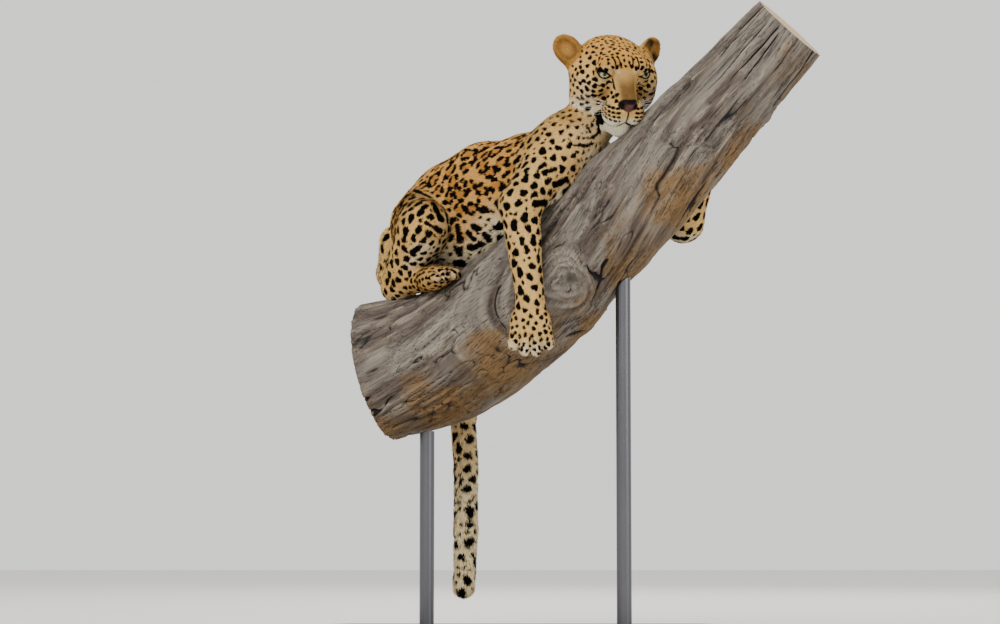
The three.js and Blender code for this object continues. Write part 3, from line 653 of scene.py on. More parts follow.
def onHead(points):
    x, y, z = within(head, points).T
    return (x > -110) & (x < 135) & (np.abs(y) < 112) & (z > -100) & (z < 95)


def onFace(points):
    x, y, z = within(head, points).T
    return (x > 34) & (x < 135) & (np.abs(y) < 58) & (z > -82) & (z < 50)


def onPaws(points):
    chosen = np.zeros(len(points), bool)
    for place, size in pawPlaces.values():
        x, y, z = within(place, points).T
        beside = (np.abs(y) < size["width"] * 0.7) & (np.abs(z) < size["depth"])
        chosen |= beside & (x > 10) & (x < size["length"] + 6)
    return chosen


points = settle(points, 1)
points, faces = refined(points, faces, onHead(points) | onPaws(points))
points = settle(points, 1)
points, faces = refined(points, faces, onFace(points))
points = settle(points, 2)
print("skin:", len(points), "points,", sum(len(f) - 2 for f in faces), "triangles")
skinObject = makeObject("coat_skin", points, faces)
flesh = [row["node"] for row in frame["record"]["subparts"] if row["material_slot"] == "coat"]
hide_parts(*flesh)


# Coat: how each part of the body is furred and marked


def fur(length, width, density, lift, gold, spot, spacing, kind="spot"):
    return {
        "length": length, "width": width, "density": density, "lift": lift, "gold": gold,
        "spot": spot, "spacing": spacing, "rosette": float(kind == "rosette"),
    }


coat = bothSides({  # lengths in mm, density in tufts per square mm, lift in degrees
    "head": fur(4.5, 0.9, 0.85, 14, 0.66, 5.3, 11.4),
    "ear_*": fur(6, 0.9, 0.85, 14, 0.85, 0, 9),
    "neck": fur(9, 1.3, 0.4, 16, 0.85, 6.6, 15.5),
    "torso": fur(7.5, 1.5, 0.34, 13, 1.0, 12.8, 31, "rosette"),
    "foreleg_*_upper": fur(7, 1.4, 0.38, 13, 0.5, 9.4, 20.5),
    "foreleg_*_lower": fur(6, 1.2, 0.48, 12, 0.5, 9.0, 19.5),
    "forepaw_*": fur(5, 1.0, 0.75, 12, 0.5, 4.4, 10.2),
    "hindleg_*_thigh": fur(7, 1.4, 0.38, 13, 0.58, 10.0, 19.5),
    "hindleg_*_shank": fur(6.5, 1.3, 0.42, 13, 0.7, 8.0, 16.5),
    "hindfoot_*": fur(5, 1.0, 0.7, 12, 0.75, 4.6, 10.4),
    "tail_root": fur(11, 1.4, 0.40, 15, 0.5, 9, 23),
    "tail_middle": fur(12, 1.4, 0.43, 17, 0.35, 10, 24),
    "tail_tip": fur(14, 1.4, 0.48, 20, 0.15, 11, 25),
})
parts = list(coat)


def survey(points):  # for each point, its share of each part of the body and the lie of its coat
    nearest = np.full((len(points), len(parts)), 1e3)
    lie = np.zeros((len(points), 3))
    for m in masses:
        if m["carve"]:
            continue
        d = m["distance"](points)
        part = parts.index("head" if m["node"] == "lid" else m["node"])
        nearest[:, part] = np.minimum(nearest[:, part], d)
        lie += np.exp(-np.clip(d, -20, 300) / 12)[:, None] * m["lie"]
    share = np.exp(-(nearest - nearest.min(axis=1, keepdims=True)) / 9)
    share /= share.sum(axis=1, keepdims=True)
    nose = placed(head, (104, 0, 0))
    onSkull = share[:, parts.index("head")][:, None]
    lie = unit(lie + 1e-6) * (1 - onSkull) + unit(points - nose) * onSkull
    return share, unit(lie + 1e-6)


mesh = skinObject.data
normals = np.empty(len(points) * 3, np.float32)
mesh.vertices.foreach_get("normal", normals)
normals = normals.reshape(-1, 3).astype(float)
share, lie = survey(points)
print("coat surveyed")


def column(name, share=share):
    return share @ np.array([coat[part][name] for part in parts])


def flatten(direction, normal):  # the direction along the surface
    return unit(direction - (direction * normal).sum(-1, keepdims=True) * normal + 1e-9)


def scatter(points, spacing, allowed, draw):  # picks points at least their own spacing apart
    taken = ~allowed
    chosen = []
    for i in draw.permutation(len(points)):
        if taken[i]:
            continue
        chosen.append(i)
        for _, j, _ in skinTree.find_range(points[i], spacing[i]):
            taken[j] = True
    return np.array(chosen)


def faceClear(points):  # where the face has no scattered spots
    x, y, z = within(head, points).T
    bridge = (x > 50) & (np.abs(y) < 20) & (z > -30) & (z < 30)
    muzzle = (x > 62) & (z > -62) & (z < -12) & (np.abs(y) < 60)
    eyes = (x > 44) & (np.abs(np.abs(y) - 39) < 19) & (np.abs(z - 29) < 12)
    brow = (x > 40) & (np.abs(y) < 29) & (z > 0) & (z < 46)
    chin = (x > 30) & (np.abs(y) < 32) & (z < -50)
    return bridge | muzzle | eyes | brow | chin


def treeOf(places):
    tree = KDTree(len(places))
    for i, p in enumerate(places):
        tree.insert(p, i)
    tree.balance()
    return tree


def plantMarks():  # the places of rosettes and spots, each with its sizes and its kind
    draw = np.random.default_rng(5)
    underside = smooth(-normals[:, 2], 0.15, 0.6) * column("rosette")
    size, rosette, spacing = column("spot"), column("rosette"), column("spacing")
    spacing = spacing * (1 + 0.1 * underside) * (1 + 0.14 * noise(points, 120, 14, 1))
    nearHead = 1 - smooth(np.linalg.norm(points - head[0], axis=1), 130, 270)
    finer = 1 - 0.28 * nearHead * smooth(size, 5.6, 8)
    finer *= 1 - 0.16 * smooth(within(head, points)[:, 2], 35, 60) * share[:, parts.index("head")]
    size, spacing = size * finer, spacing * finer
    clear = faceClear(points)
    planted = []
    for i in scatter(points, spacing, ~clear, draw):
        if size[i] < 1:
            continue
        ring = rosette[i] > 0.6 and underside[i] < 0.35
        grown = draw.uniform(0.82, 1.12) * spacing[i] / column("spacing", share[i])
        planted.append((i, size[i] * grown, "ring" if ring else "spot"))
    taken = clear | (size < 3.5)
    for i, radius, kind in planted:
        for _, j, _ in skinTree.find_range(points[i], radius + (13 if kind == "ring" else 7.5)):
            taken[j] = True
    filler = scatter(points, spacing * 0.45, ~taken, draw)
    planted += [(i, min(size[i] * 0.42, 5) * draw.uniform(0.75, 1.25), "spot") for i in filler]
    return planted


skinTree = treeOf(points)
marks = plantMarks()
print("marks planted:", len(marks))


# Dark bars of the near side, by the node they lie on, each a line in x and z with its width

bars = {
    "hindleg_right_thigh": [
        ([(-186, 878), (-170, 844)], 5.6), ([(-199, 836), (-174, 820)], 6),
        ([(-175, 772), (-173, 752)], 6.5), ([(-239, 926), (-191, 897)], 4),
    ],
    "torso": [
        ([(-137, 836), (-131, 808)], 7.5), ([(-108, 794), (-85, 803)], 8),
        ([(-114, 823), (-104, 812)], 6), ([(-81, 817), (-71, 809)], 7),
    ],
    "foreleg_right_upper": [
        ([(58, 899), (82, 913)], 6), ([(18, 857), (38, 863)], 7), ([(38, 921), (58, 930)], 5.5),
    ],
    "neck": [
        ([(86, 939), (104, 951)], 4), ([(60, 943), (84, 948)], 4.5),
        ([(146, 1034), (146, 1010), (136, 1000), (116, 995)], 3.4),
        ([(80, 992), (94, 980), (116, 980), (132, 987)], 3.4),
        ([(66, 961), (84, 961), (104, 968)], 3.6), ([(122, 1021), (129, 1009)], 3),
    ],
}
barEdge = 4  # how far the pale edge round a bar reaches, in mm


def lineDistance(flat, line):  # from flat points to a line of straight stretches
    nearest = np.full(len(flat), 1e3)
    for a, b in zip(line, line[1:]):
        a, b = np.asarray(a, float), np.asarray(b, float)
        t = np.clip(((flat - a) @ (b - a)) / ((b - a) @ (b - a)), 0, 1)
        nearest = np.minimum(nearest, np.linalg.norm(flat - a - t[:, None] * (b - a), axis=1))
    return nearest


def markField(places, placeNormals, placeShare):  # distance to the dark marks in mm, and the hearts
    draw = np.random.default_rng(8)
    tree = treeOf(places)
    dark = np.full(len(places), 6.0)
    heart = np.zeros(len(places))
    for i, radius, kind in marks:
        turn, lobes, stretch = draw.uniform(0, 6.28, 3), draw.integers(3, 5), draw.uniform(1.05, 1.35)
        full = draw.uniform(0.7, 1.3)
        found = tree.find_range(points[i], radius * 1.6 + 7)
        if not found:
            continue
        index = np.array([j for _, j, _ in found])
        index = index[placeNormals[index] @ normals[i] > 0.15]
        if not len(index):
            continue
        offset = places[index] - points[i]
        along = flatten(lie[i], normals[i])
        across = np.cross(normals[i], along)
        a, b = offset @ along, offset @ across
        angle = np.arctan2(b, a)
        if kind == "ring":
            r = np.hypot(a / 1.12, b)
            path = radius * (1 + 0.13 * np.sin(2 * angle + turn[0]) + 0.08 * np.sin(3 * angle + turn[1]))
            band = 6.0 * (full + 0.85 * np.cos(lobes * angle + turn[2]))
            distance = np.abs(r - path) - np.clip(band, -2, 5.4)
            heart[index] = np.maximum(heart[index], smooth(path - r, 0, 4))
        else:
            r = np.hypot(a / math.sqrt(stretch), b * math.sqrt(stretch))
            edge = radius * (1 + 0.14 * np.sin(2 * angle + turn[0]) + 0.10 * np.sin(3 * angle + turn[1]))
            distance = r - edge
        dark[index] = np.minimum(dark[index], distance)
    near = placeNormals[:, 1] < 0.35
    flat = places[:, [0, 2]]
    wobble = noise(places, 13, 16, 2)
    for node, lines in bars.items():
        on = near & (placeShare[:, parts.index(node)] > 0.3)
        for line, width in lines:
            away = lineDistance(flat[on], line) + 2.6 * wobble[on]
            dark[on] = np.where(away < width + barEdge, np.maximum(dark[on], 1.5), dark[on])
            dark[on] = np.minimum(dark[on], away - width)
    return dark + 1.1 * noise(places, 7, 15, 2), heart


# Face marks, in the head's frame: x ahead, y to its left, z up

faceMarks = {
    "tear": {"line": [(27, 25), (24, 16), (22, 6)], "width": 1.5, "from": 40},
    "cornerLine": {"line": [(52, 36), (62, 42)], "width": 1.8, "from": 25},
    "brow": {"line": [(24, 47), (25, 60)], "width": 1.9, "from": 40},
    "innerBrow": {"line": [(12, 48), (15, 62)], "width": 1.7, "from": 40},
    "cheekStreak": {"line": [(34, 9), (47, 5), (58, 9)], "width": 1.2, "from": 30},
    "philtrum": {"line": [(0, -24), (0, -53)], "width": 1.8, "from": 70},
    "lip": {"line": [(0, -53), (14, -61.5), (30, -64), (44, -57)], "width": 2.6, "from": 58},
}
whiskerRows = {"tops": (-22, -30, -38, -46), "start": 16, "end": 80, "period": 12, "width": 2.7}
mouthCorner = {"at": (62, 35, -63), "stretch": 1.2, "size": 14.5}
paleStrokes = [  # the line, how far it fades, and its strength
    ([(28, 17), (40, 14), (52, 19)], 7, 0.45),  # under the eye
    ([(18, 40), (26, 46), (42, 46)], 8, 0.35),  # over the eye
]
noseLook = {"at": (113, 0, -14.5), "deep": 15, "wide": 30, "narrow": 12, "high": 13.5}


def eyeRim(places):  # signed distance to the dark rim round each eye opening
    rim = np.full(len(places), 6.0)
    wide, high = face["opening"]
    for side in (-1, 1):
        q = within(lidPlace(side), places)
        near = (np.abs(q[:, 1]) < 24) & (np.abs(q[:, 2]) < 14) & (q[:, 0] > 2)
        across = q[:, 1] / wide
        edge = high * np.clip(1 - across * across, -0.25, 1)
        flat = np.maximum(-q[:, 2] - edge * 0.92 - 1.8, q[:, 2] - edge * 0.80 - 3.8)
        rim = np.where(near & (np.abs(across) < 1.3), np.minimum(rim, flat), rim)
    return rim


def earField(places):  # the ears' golden lining, the black of their backs, and painted shade in their hollows
    lining, earBlackAndHollowShade = np.zeros(len(places)), np.zeros(len(places))
    for side in (-1, 1):
        x, y, z = within(earPlace(side), places).T
        inEar = (np.abs(y) < 40) & (z > 2) & (z < 80) & (np.abs(x) < 26)
        lining = np.where(inEar, np.maximum(lining, smooth(x, -3, 6)), lining)
        band = smooth(-x, 1, 6) * smooth(z, 12, 18) * (1 - smooth(z, 44, 52))
        # the hollow: painted shade inside each ear, mixed in with the black of the backs
        hollow = smooth(x, -3, 3) * smooth(z, 6, 16) * (1 - smooth(z, 24 + 12 * side, 50))
        hollow = hollow * (0.72 + 0.24 * side)  # the painted shade is deeper in the left ear's hollow, which is in the dark
        earBlackAndHollowShade = np.where(inEar, np.maximum(earBlackAndHollowShade, np.maximum(band, hollow)), earBlackAndHollowShade)
    return lining, earBlackAndHollowShade


def faceField(places):  # the dark strokes, the pale fur, nose leather and ears, each from 0 to 1
    x, y, z = within(head, places).T
    side = np.abs(y)
    front = np.stack([side, z], 1)
    ahead = side < 75
    dark = np.full(len(places), 6.0)
    for stroke in faceMarks.values():
        found = lineDistance(front, stroke["line"]) - stroke["width"]
        dark = np.where(ahead & (x > stroke["from"]), np.minimum(dark, found), dark)
    around = side + (116 - x) * 0.75
    for n, top in enumerate(whiskerRows["tops"]):
        height = top - 0.06 * (around - 20) * (1 - n * 0.6)
        dash = np.sin((around + n * 4.1) * 2 * math.pi / whiskerRows["period"]) + 0.45
        found = np.abs(z - height) - whiskerRows["width"] + np.maximum(-dash, 0) * 4
        near = ahead & (around > whiskerRows["start"]) & (around < whiskerRows["end"]) & (x > 52)
        dark = np.where(near, np.minimum(dark, found), dark)
    a, b, c = mouthCorner["at"]
    corner = np.sqrt(((x - a) / mouthCorner["stretch"]) ** 2 + (side - b) ** 2 + (z - c) ** 2)
    dark = np.minimum(dark, corner - mouthCorner["size"])
    dark = np.minimum(dark, eyeRim(places))
    bridge = smooth(x, 44, 70) * (1 - smooth(side, 11, 25)) * smooth(z, -20, -8) * (1 - smooth(z, 14, 44))
    pale = smooth(-z, 56, 66) * smooth(x, 30, 60)  # the chin
    pale = pale + smooth(-z, 32, 56) * smooth(x, 50, 80) * 0.7  # the lips
    pale = pale + smooth(-z, 30, 62) * smooth(x, -40, 20) * 0.5  # the jaw
    pale = pale + smooth(side, 45, 62) * smooth(x, -10, 40) * smooth(-z, -30, 10) * 0.3  # the cheeks
    for line, fade, strength in paleStrokes:
        pale = pale + (1 - smooth(lineDistance(front, line), 0.5, fade)) * strength * smooth(x, 30, 45)
    a, b, c = noseLook["at"]
    width = noseLook["wide"] - (noseLook["wide"] - noseLook["narrow"]) * smooth(-z, 15, 27)
    nose = np.sqrt(((x - a) / noseLook["deep"]) ** 2 + (y / width) ** 2 + ((z - c) / noseLook["high"]) ** 2)
    leather = smooth(1 - nose, -0.03, 0.04)
    noseEdge = leather * np.maximum(smooth(side, 5, 12), smooth(z, -13, -7))
    crown = smooth(z, 25, 55) * (1 - smooth(x, 60, 90))
    lining, earBlackAndHollowShade = earField(places)
    return {
        "dark": dark, "pale": np.clip(pale, 0, 1) * (1 - bridge), "leather": leather,
        "noseEdge": noseEdge, "lining": lining, "earBlackAndHollowShade": earBlackAndHollowShade, "bridge": bridge, "crown": crown,
    }


def shareOf(placeShare, *names):  # how much of each place belongs to the named parts
    return placeShare[:, [parts.index(name) for name in names]].sum(1)


def pawTips(places):  # the paler ends of the paws
    tips = np.zeros(len(places))
    for paw, (place, size) in pawPlaces.items():
        x, y, z = within(place, places).T
        near = (np.abs(y) < 60) & (np.abs(z) < 45) & (x > 0) & (x < size["length"] + 12)
        pale = smooth(x / size["length"], 0.6, 0.85) * (0.55 if paw.startswith("fore") else 0.25)
        tips = np.where(near, np.maximum(tips, pale), tips)
    return tips


def dress(places, placeNormals, placeShare):  # every channel that the coat's colours need
    dark, heart = markField(places, placeNormals, placeShare)
    looks = faceField(places)
    onSkull = shareOf(placeShare, "head") > 0.5
    onEar = shareOf(placeShare, "ear_right", "ear_left")
    dark = np.where(onSkull, np.minimum(dark, looks["dark"]), dark)
    down = -placeNormals[:, 2]
    legShare = shareOf(placeShare, *[part for part in parts if "leg" in part])
    under = smooth(down, 0.2, 0.85) * shareOf(placeShare, "torso", "neck") * 0.85
    under = under + smooth(down, 0.45, 0.9) * legShare * 0.6
    throat = smooth(placeNormals @ head[1][0], 0.2, 0.75) * shareOf(placeShare, "neck")
    inner = smooth(placeNormals[:, 0], 0.45, 0.95) * shareOf(placeShare, "hindleg_right_thigh")
    tail = shareOf(placeShare, "tail_tip") + 0.5 * shareOf(placeShare, "tail_middle")
    white = under + 0.35 * throat + pawTips(places) + 0.45 * tail + 0.5 * inner
    gold = column("gold", placeShare) + np.where(onSkull, 0.35 * looks["crown"], 0)
    gold = gold * (1 - 0.6 * under) + 0.1 * noise(places, 70, 9, 2)
    channels = {
        "mark": dark, "heart": heart, "gold": np.clip(gold, 0, 1),
        "pale": np.clip(white + np.where(onSkull, looks["pale"], 0), 0, 1),
        "lining": looks["lining"] * (onEar > 0.4), "earBlackAndHollowShade": np.clip(looks["earBlackAndHollowShade"] * onEar, 0, 1),
    }
    for name in ("leather", "noseEdge", "bridge"):
        channels[name] = np.where(onSkull, looks[name], 0)
    return channels


# Materials: one small class for a value in a node tree, and one for the tree


class Wire:
    def __init__(self, paint, socket):
        self.paint = paint
        self.socket = socket

    def __add__(self, other):
        return self.paint.maths("ADD", self, other)

    def __sub__(self, other):
        return self.paint.maths("SUBTRACT", self, other)

    def __rsub__(self, other):
        return self.paint.maths("SUBTRACT", other, self)

    def __mul__(self, other):
        return self.paint.maths("MULTIPLY", self, other)

    __radd__ = __add__
    __rmul__ = __mul__


class Paint:
    def __init__(self, name):
        self.material = bpy.data.materials.new(name)
        self.material.use_nodes = True
        self.tree = self.material.node_tree
        self.shader = self.tree.nodes["Principled BSDF"]

    def add(self, kind, settings=None, inputs=None, output=0):
        node = self.tree.nodes.new(kind)
        for key, value in (settings or {}).items():
            setattr(node, key, value)
        for key, value in (inputs or {}).items():
            if isinstance(value, Wire):
                self.tree.links.new(value.socket, node.inputs[key])
            else:
                node.inputs[key].default_value = value
        return Wire(self, node.outputs[output])

    def maths(self, operation, a, b=0.0):
        return self.add("ShaderNodeMath", {"operation": operation}, {0: a, 1: b})

    def mix(self, factor, a, b, blend="MIX"):
        a, b = (value if isinstance(value, Wire) else (*value, 1) for value in (a, b))
        settings = {"data_type": "RGBA", "blend_type": blend}
        return self.add("ShaderNodeMix", settings, {0: factor, 6: a, 7: b}, 2)

    def field(self, name, output="Fac"):
        return self.add("ShaderNodeAttribute", {"attribute_name": name}, output=output)

    def step(self, value, low, high):  # a soft step from 0 to 1
        inputs = {0: value, 1: low, 2: high, 3: 0.0, 4: 1.0}
        return self.add("ShaderNodeMapRange", {"interpolation_type": "SMOOTHSTEP"}, inputs)

    def grain(self, scale, detail, vector, roughness=0.5):
        inputs = {"Scale": scale, "Detail": detail, "Vector": vector, "Roughness": roughness}
        return self.add("ShaderNodeTexNoise", {}, inputs)

    def objectPlace(self):
        return self.add("ShaderNodeTexCoord", output=3)

    def stretched(self, vector, scale):
        return self.add("ShaderNodeVectorMath", {"operation": "MULTIPLY"}, {0: vector, 1: scale})

    def bump(self, height, strength, distance):
        inputs = {"Height": height, "Strength": strength, "Distance": distance}
        return self.add("ShaderNodeBump", {}, inputs)

    def finish(self, links, constants):
        for key, wire in links.items():
            self.tree.links.new(wire.socket, self.shader.inputs[key])
        for key, value in constants.items():
            self.shader.inputs[key].default_value = value
        return self.material


def shown(red, green, blue):  # a colour as seen on screen, from 0 to 255, as the shader's linear values
    def linear(c):
        c = c / 255
        return c / 12.92 if c <= 0.04045 else ((c + 0.055) / 1.055) ** 2.4
    return linear(red), linear(green), linear(blue)


coatColours = {
    "golden": shown(190, 141, 74), "cream": shown(224, 194, 128), "white": shown(226, 218, 190),
    "heart": shown(162, 104, 42), "spot": shown(7, 5, 6), "leather": shown(92, 60, 56),
    "noseEdge": shown(16, 11, 12), "lining": shown(150, 104, 48), "bridge": shown(112, 82, 44),
}


def makeCoatMaterial(tufts):
    paint = Paint("coat_tufts" if tufts else "coat_skin")
    place = paint.objectPlace()
    patchy = paint.grain(26, 3, place)
    fine = paint.grain(900, 2, place)
    colour = paint.mix(paint.field("gold"), coatColours["cream"], coatColours["golden"])
    colour = paint.mix(paint.field("bridge"), colour, coatColours["bridge"])
    colour = paint.mix(paint.field("pale"), colour, coatColours["white"])
    heart = paint.field("heart") * (paint.field("gold") * 0.9 - 0.15) * (1 - paint.field("pale"))
    colour = paint.mix(heart, colour, coatColours["heart"])
    colour = paint.mix(paint.field("lining") * 0.85, colour, coatColours["lining"])
    mark = paint.field("mark") + (fine - 0.5) * 1.2
    spot = paint.step(mark * -1, -0.5, 0.6)
    level = 0.84 + patchy * 0.3
    if tufts:
        level = level * (0.72 + paint.field("shade") * 0.42) * (0.86 + paint.field("tip") * 0.26)
    else:
        level = level * (0.72 + fine * 0.4)
    tone = paint.add("ShaderNodeCombineColor", {}, {0: level, 1: level, 2: level})
    colour = paint.mix(1.0, colour, tone, "MULTIPLY")
    # the spots, the ears' black backs and the painted shade in the ears' hollows all take the spot colour
    marksAndEarShade = 1 - (1 - spot) * (1 - paint.field("earBlackAndHollowShade"))
    colour = paint.mix(marksAndEarShade, colour, coatColours["spot"])
    nose = paint.mix(paint.field("noseEdge"), coatColours["leather"], coatColours["noseEdge"])
    colour = paint.mix(paint.field("leather"), colour, nose)
    rough = 0.78 - paint.field("leather") * 0.36
    links = {"Base Color": colour, "Roughness": rough}
    if not tufts:
        links["Normal"] = paint.bump(fine + patchy * 0.3, 0.5, 0.0012)
    return paint.finish(links, {"Specular IOR Level": 0.03})


channels = dress(points, normals, share)
for name, values in channels.items():
    setField(mesh, name, values)
mesh.materials.append(makeCoatMaterial(False))
print("skin dressed")


# Tufts: thin blades over the whole skin, laid along the coat

coatPieces = {
    "coat_head": ["head", "ear_right", "ear_left"],
    "coat_neck": ["neck"],
    "coat_torso": ["torso"],
    "coat_forelegs": [p for p in parts if p.startswith("fore")],
    "coat_hindlegs": [p for p in parts if p.startswith("hind")],
    "coat_tail": ["tail_root", "tail_middle", "tail_tip"],
}
chartAxis = {  # where each part's unwrap runs from and to
    "head": (placed(head, (-90, 0, 0)), placed(head, (110, 0, -20))),
    "neck": (joints["brisket"], joints["neckHigh"]),
    "torso": (joints["pelvis"], joints["brisket"]),
    "tail_root": (tailLine[0][0], tailLine[2][0]),
    "tail_middle": (tailLine[2][0], tailLine[5][0]),
    "tail_tip": (tailLine[5][0], tailLine[7][0]),
}
for side, sign, end in (("right", -1, "Right"), ("left", 1, "Left")):
    ear, fore, hind = earPlace(sign), legs["fore" + end], legs["hind" + end]
    chartAxis["ear_" + side] = (ear[0], ear[0] + ear[1][2] * 70)
    chartAxis[f"foreleg_{side}_upper"] = (fore["shoulder"], fore["elbow"])
    chartAxis[f"foreleg_{side}_lower"] = (fore["elbow"], fore["wrist"])
    chartAxis[f"hindleg_{side}_thigh"] = (hind["hip"], hind["knee"])
    chartAxis[f"hindleg_{side}_shank"] = (hind["knee"], hind["hock"])
for paw, (place, size) in pawPlaces.items():
    chartAxis[paw] = (place[0], place[0] + place[1][0] * size["length"])
tufts = {
    "thickness": 0.94, "sunk": 0.6, "splay": 14,
    "seen": 0.6,  # how far along a blade its colour is taken
    "longer": 0.55,  # how much longer the pale fur of the trunk is
    "perPiece": 199000 // 3,  # blades, each of three triangles
}


def triangles(faces):
    return np.array([(f[0], f[n], f[n + 1]) for f in faces for n in range(1, len(f) - 1)])


def plantTufts():
    draw = np.random.default_rng(21)
    corners = triangles(faces)
    a, b, c = (points[corners[:, n]] for n in range(3))
    area = np.linalg.norm(np.cross(b - a, c - a), axis=1) / 2
    density = column("density")[corners].mean(axis=1)
    hidden = branchDistance((a + b + c) / 3) < -5
    bare = channels["leather"][corners].mean(axis=1)
    wanted = area * density * ~hidden * (1 - bare) * tufts["thickness"]
    total = np.cumsum(wanted)
    count = int(total[-1])
    pick = np.searchsorted(total, (np.arange(count) + draw.random(count)) * total[-1] / count)
    pick = np.minimum(pick, len(corners) - 1)
    u, v = draw.random(count), draw.random(count)
    flip = u + v > 1
    u, v = np.where(flip, 1 - u, u), np.where(flip, 1 - v, v)
    weights = np.stack([1 - u - v, u, v], 1)[:, :, None]
    chosen = corners[pick]

    def blend(values):
        return (values[chosen] * weights).sum(axis=1)

    return blend(points), unit(blend(normals)), blend(lie), blend(share), draw


def makeTufts():
    roots, up, along, rootShare, draw = plantTufts()
    count = len(roots)
    ahead = flatten(along, up)
    length = column("length", rootShare)
    paints = dress(roots + ahead * (length * tufts["seen"])[:, None], up, rootShare)
    length = length * draw.uniform(0.7, 1.25, count)
    width = column("width", rootShare) * draw.uniform(0.8, 1.2, count)
    lift = np.radians(column("lift", rootShare) + draw.normal(0, 5, count))
    length *= 1 + tufts["longer"] * paints["pale"] * shareOf(rootShare, "torso", "neck")
    length *= np.where(paints["bridge"] > 0.4, 0.75, 1) * np.where(paints["mark"] < -0.5, 0.95, 1)
    side = np.cross(up, ahead)
    turn = np.radians(draw.normal(0, tufts["splay"], count))[:, None]
    ahead = ahead * np.cos(turn) + side * np.sin(turn)
    side = np.cross(up, ahead)
    tilt = draw.normal(0, 0.25, count)[:, None]
    side = unit(side + up * tilt)
    l, w = length[:, None], width[:, None]
    rise, run = np.sin(lift)[:, None], np.cos(lift)[:, None]
    low = roots - up * tufts["sunk"]
    middle = roots + (ahead * run + up * rise * 1.2) * l * 0.5
    tip = roots + (ahead * run + up * rise * 0.85) * l
    blades = np.stack([
        low - side * w * 0.35, low + side * w * 0.35,
        middle + side * w * 0.5, middle - side * w * 0.5, tip,
    ], 1)
    main = rootShare.argmax(axis=1)
    shade = draw.random(count)
    material = makeCoatMaterial(True)
    for name, members in coatPieces.items():
        index = np.nonzero(np.isin(main, [parts.index(part) for part in members]))[0]
        pieces = math.ceil(len(index) / tufts["perPiece"])
        for number in range(pieces):
            rows = index[number::pieces]
            label = name if pieces == 1 else f"{name}_{number + 1}"
            buildCoatPiece(label, members, rows, blades, main, roots, paints, shade, material)
    print("tufts:", count)


def buildCoatPiece(label, members, rows, blades, main, roots, paints, shade, material):
    n = len(rows)
    base = np.arange(n)[:, None] * 5
    faces = np.stack([base + [0, 1, 2], base + [0, 2, 3], base + [3, 2, 4]], 1).reshape(-1, 3)
    piece = makeObject(label, blades[rows].reshape(-1, 3), faces)
    data = piece.data
    for name, values in paints.items():
        setField(data, name, np.repeat(values[rows], 5))
    setField(data, "shade", np.repeat(shade[rows], 5))
    setField(data, "tip", np.tile([0, 0, 0.5, 0.5, 1], n))
    u, v = unwrap(members, main[rows], roots[rows])
    patch = np.array([(-1, -1), (1, -1), (1, 0.4), (-1, 0.4), (0, 1.2)]) * 0.0015
    spots = np.stack([u, v], 1)[:, None, :] + patch
    layer = data.uv_layers.new(name="OFBake")
    layer.data.foreach_set("uv", spots.reshape(-1, 2)[faces.ravel()].astype(np.float32).ravel())
    data.materials.append(material)
    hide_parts(*members)


def unwrap(members, main, roots):  # round each part's axis and along it, each part in its own column
    u, v = np.zeros(len(roots)), np.zeros(len(roots))
    for number, member in enumerate(members):
        chosen = main == parts.index(member)
        if not chosen.any():
            continue
        a, b = (np.asarray(p, float) for p in chartAxis[member])
        place = frameAt(a, b - a, (0.1, 0.2, 1))
        q = within(place, roots[chosen])
        turn = np.arctan2(q[:, 2], q[:, 1]) / (2 * math.pi) + 0.5
        reach = (q[:, 0] - q[:, 0].min()) / max(np.ptp(q[:, 0]), 1)
        u[chosen] = (number + 0.03 + 0.94 * turn) / len(members)
        v[chosen] = 0.02 + 0.96 * reach
    return u, v


makeTufts()


# Eyes: each a ball whose front bulges, coloured by the angle from the gaze

eyeLook = {"bulge": 0.9, "bulgeSpread": 0.55, "inset": 0.2, "turn": 0.30, "rings": 40, "around": 64}
eyeColours = {
    "outer": shown(84, 86, 66), "iris": shown(158, 164, 134), "inner": shown(150, 146, 104),
    "pupil": shown(6, 6, 8), "white": shown(70, 52, 42),
}


def makeEyeMaterial():
    paint = Paint("eye")
    angle = paint.field("angle")
    streaks = paint.grain(260, 3, paint.objectPlace())
    outwards = paint.step(angle + (streaks - 0.5) * 0.12, 0.22, 0.50)
    iris = paint.mix(outwards, eyeColours["inner"], eyeColours["iris"])
    iris = paint.mix(paint.step(angle, 0.46, 0.56), iris, eyeColours["outer"])
    iris = paint.mix(streaks * 0.35, iris, eyeColours["outer"])
    colour = paint.mix(paint.step(angle, 0.19, 0.215), eyeColours["pupil"], iris)
    colour = paint.mix(paint.step(angle, 0.57, 0.62), colour, eyeColours["white"])
    return paint.finish({"Base Color": colour}, {
        "Roughness": 0.4, "Coat Weight": 0.8, "Coat Roughness": 0.03, "Specular IOR Level": 0.0,
    })


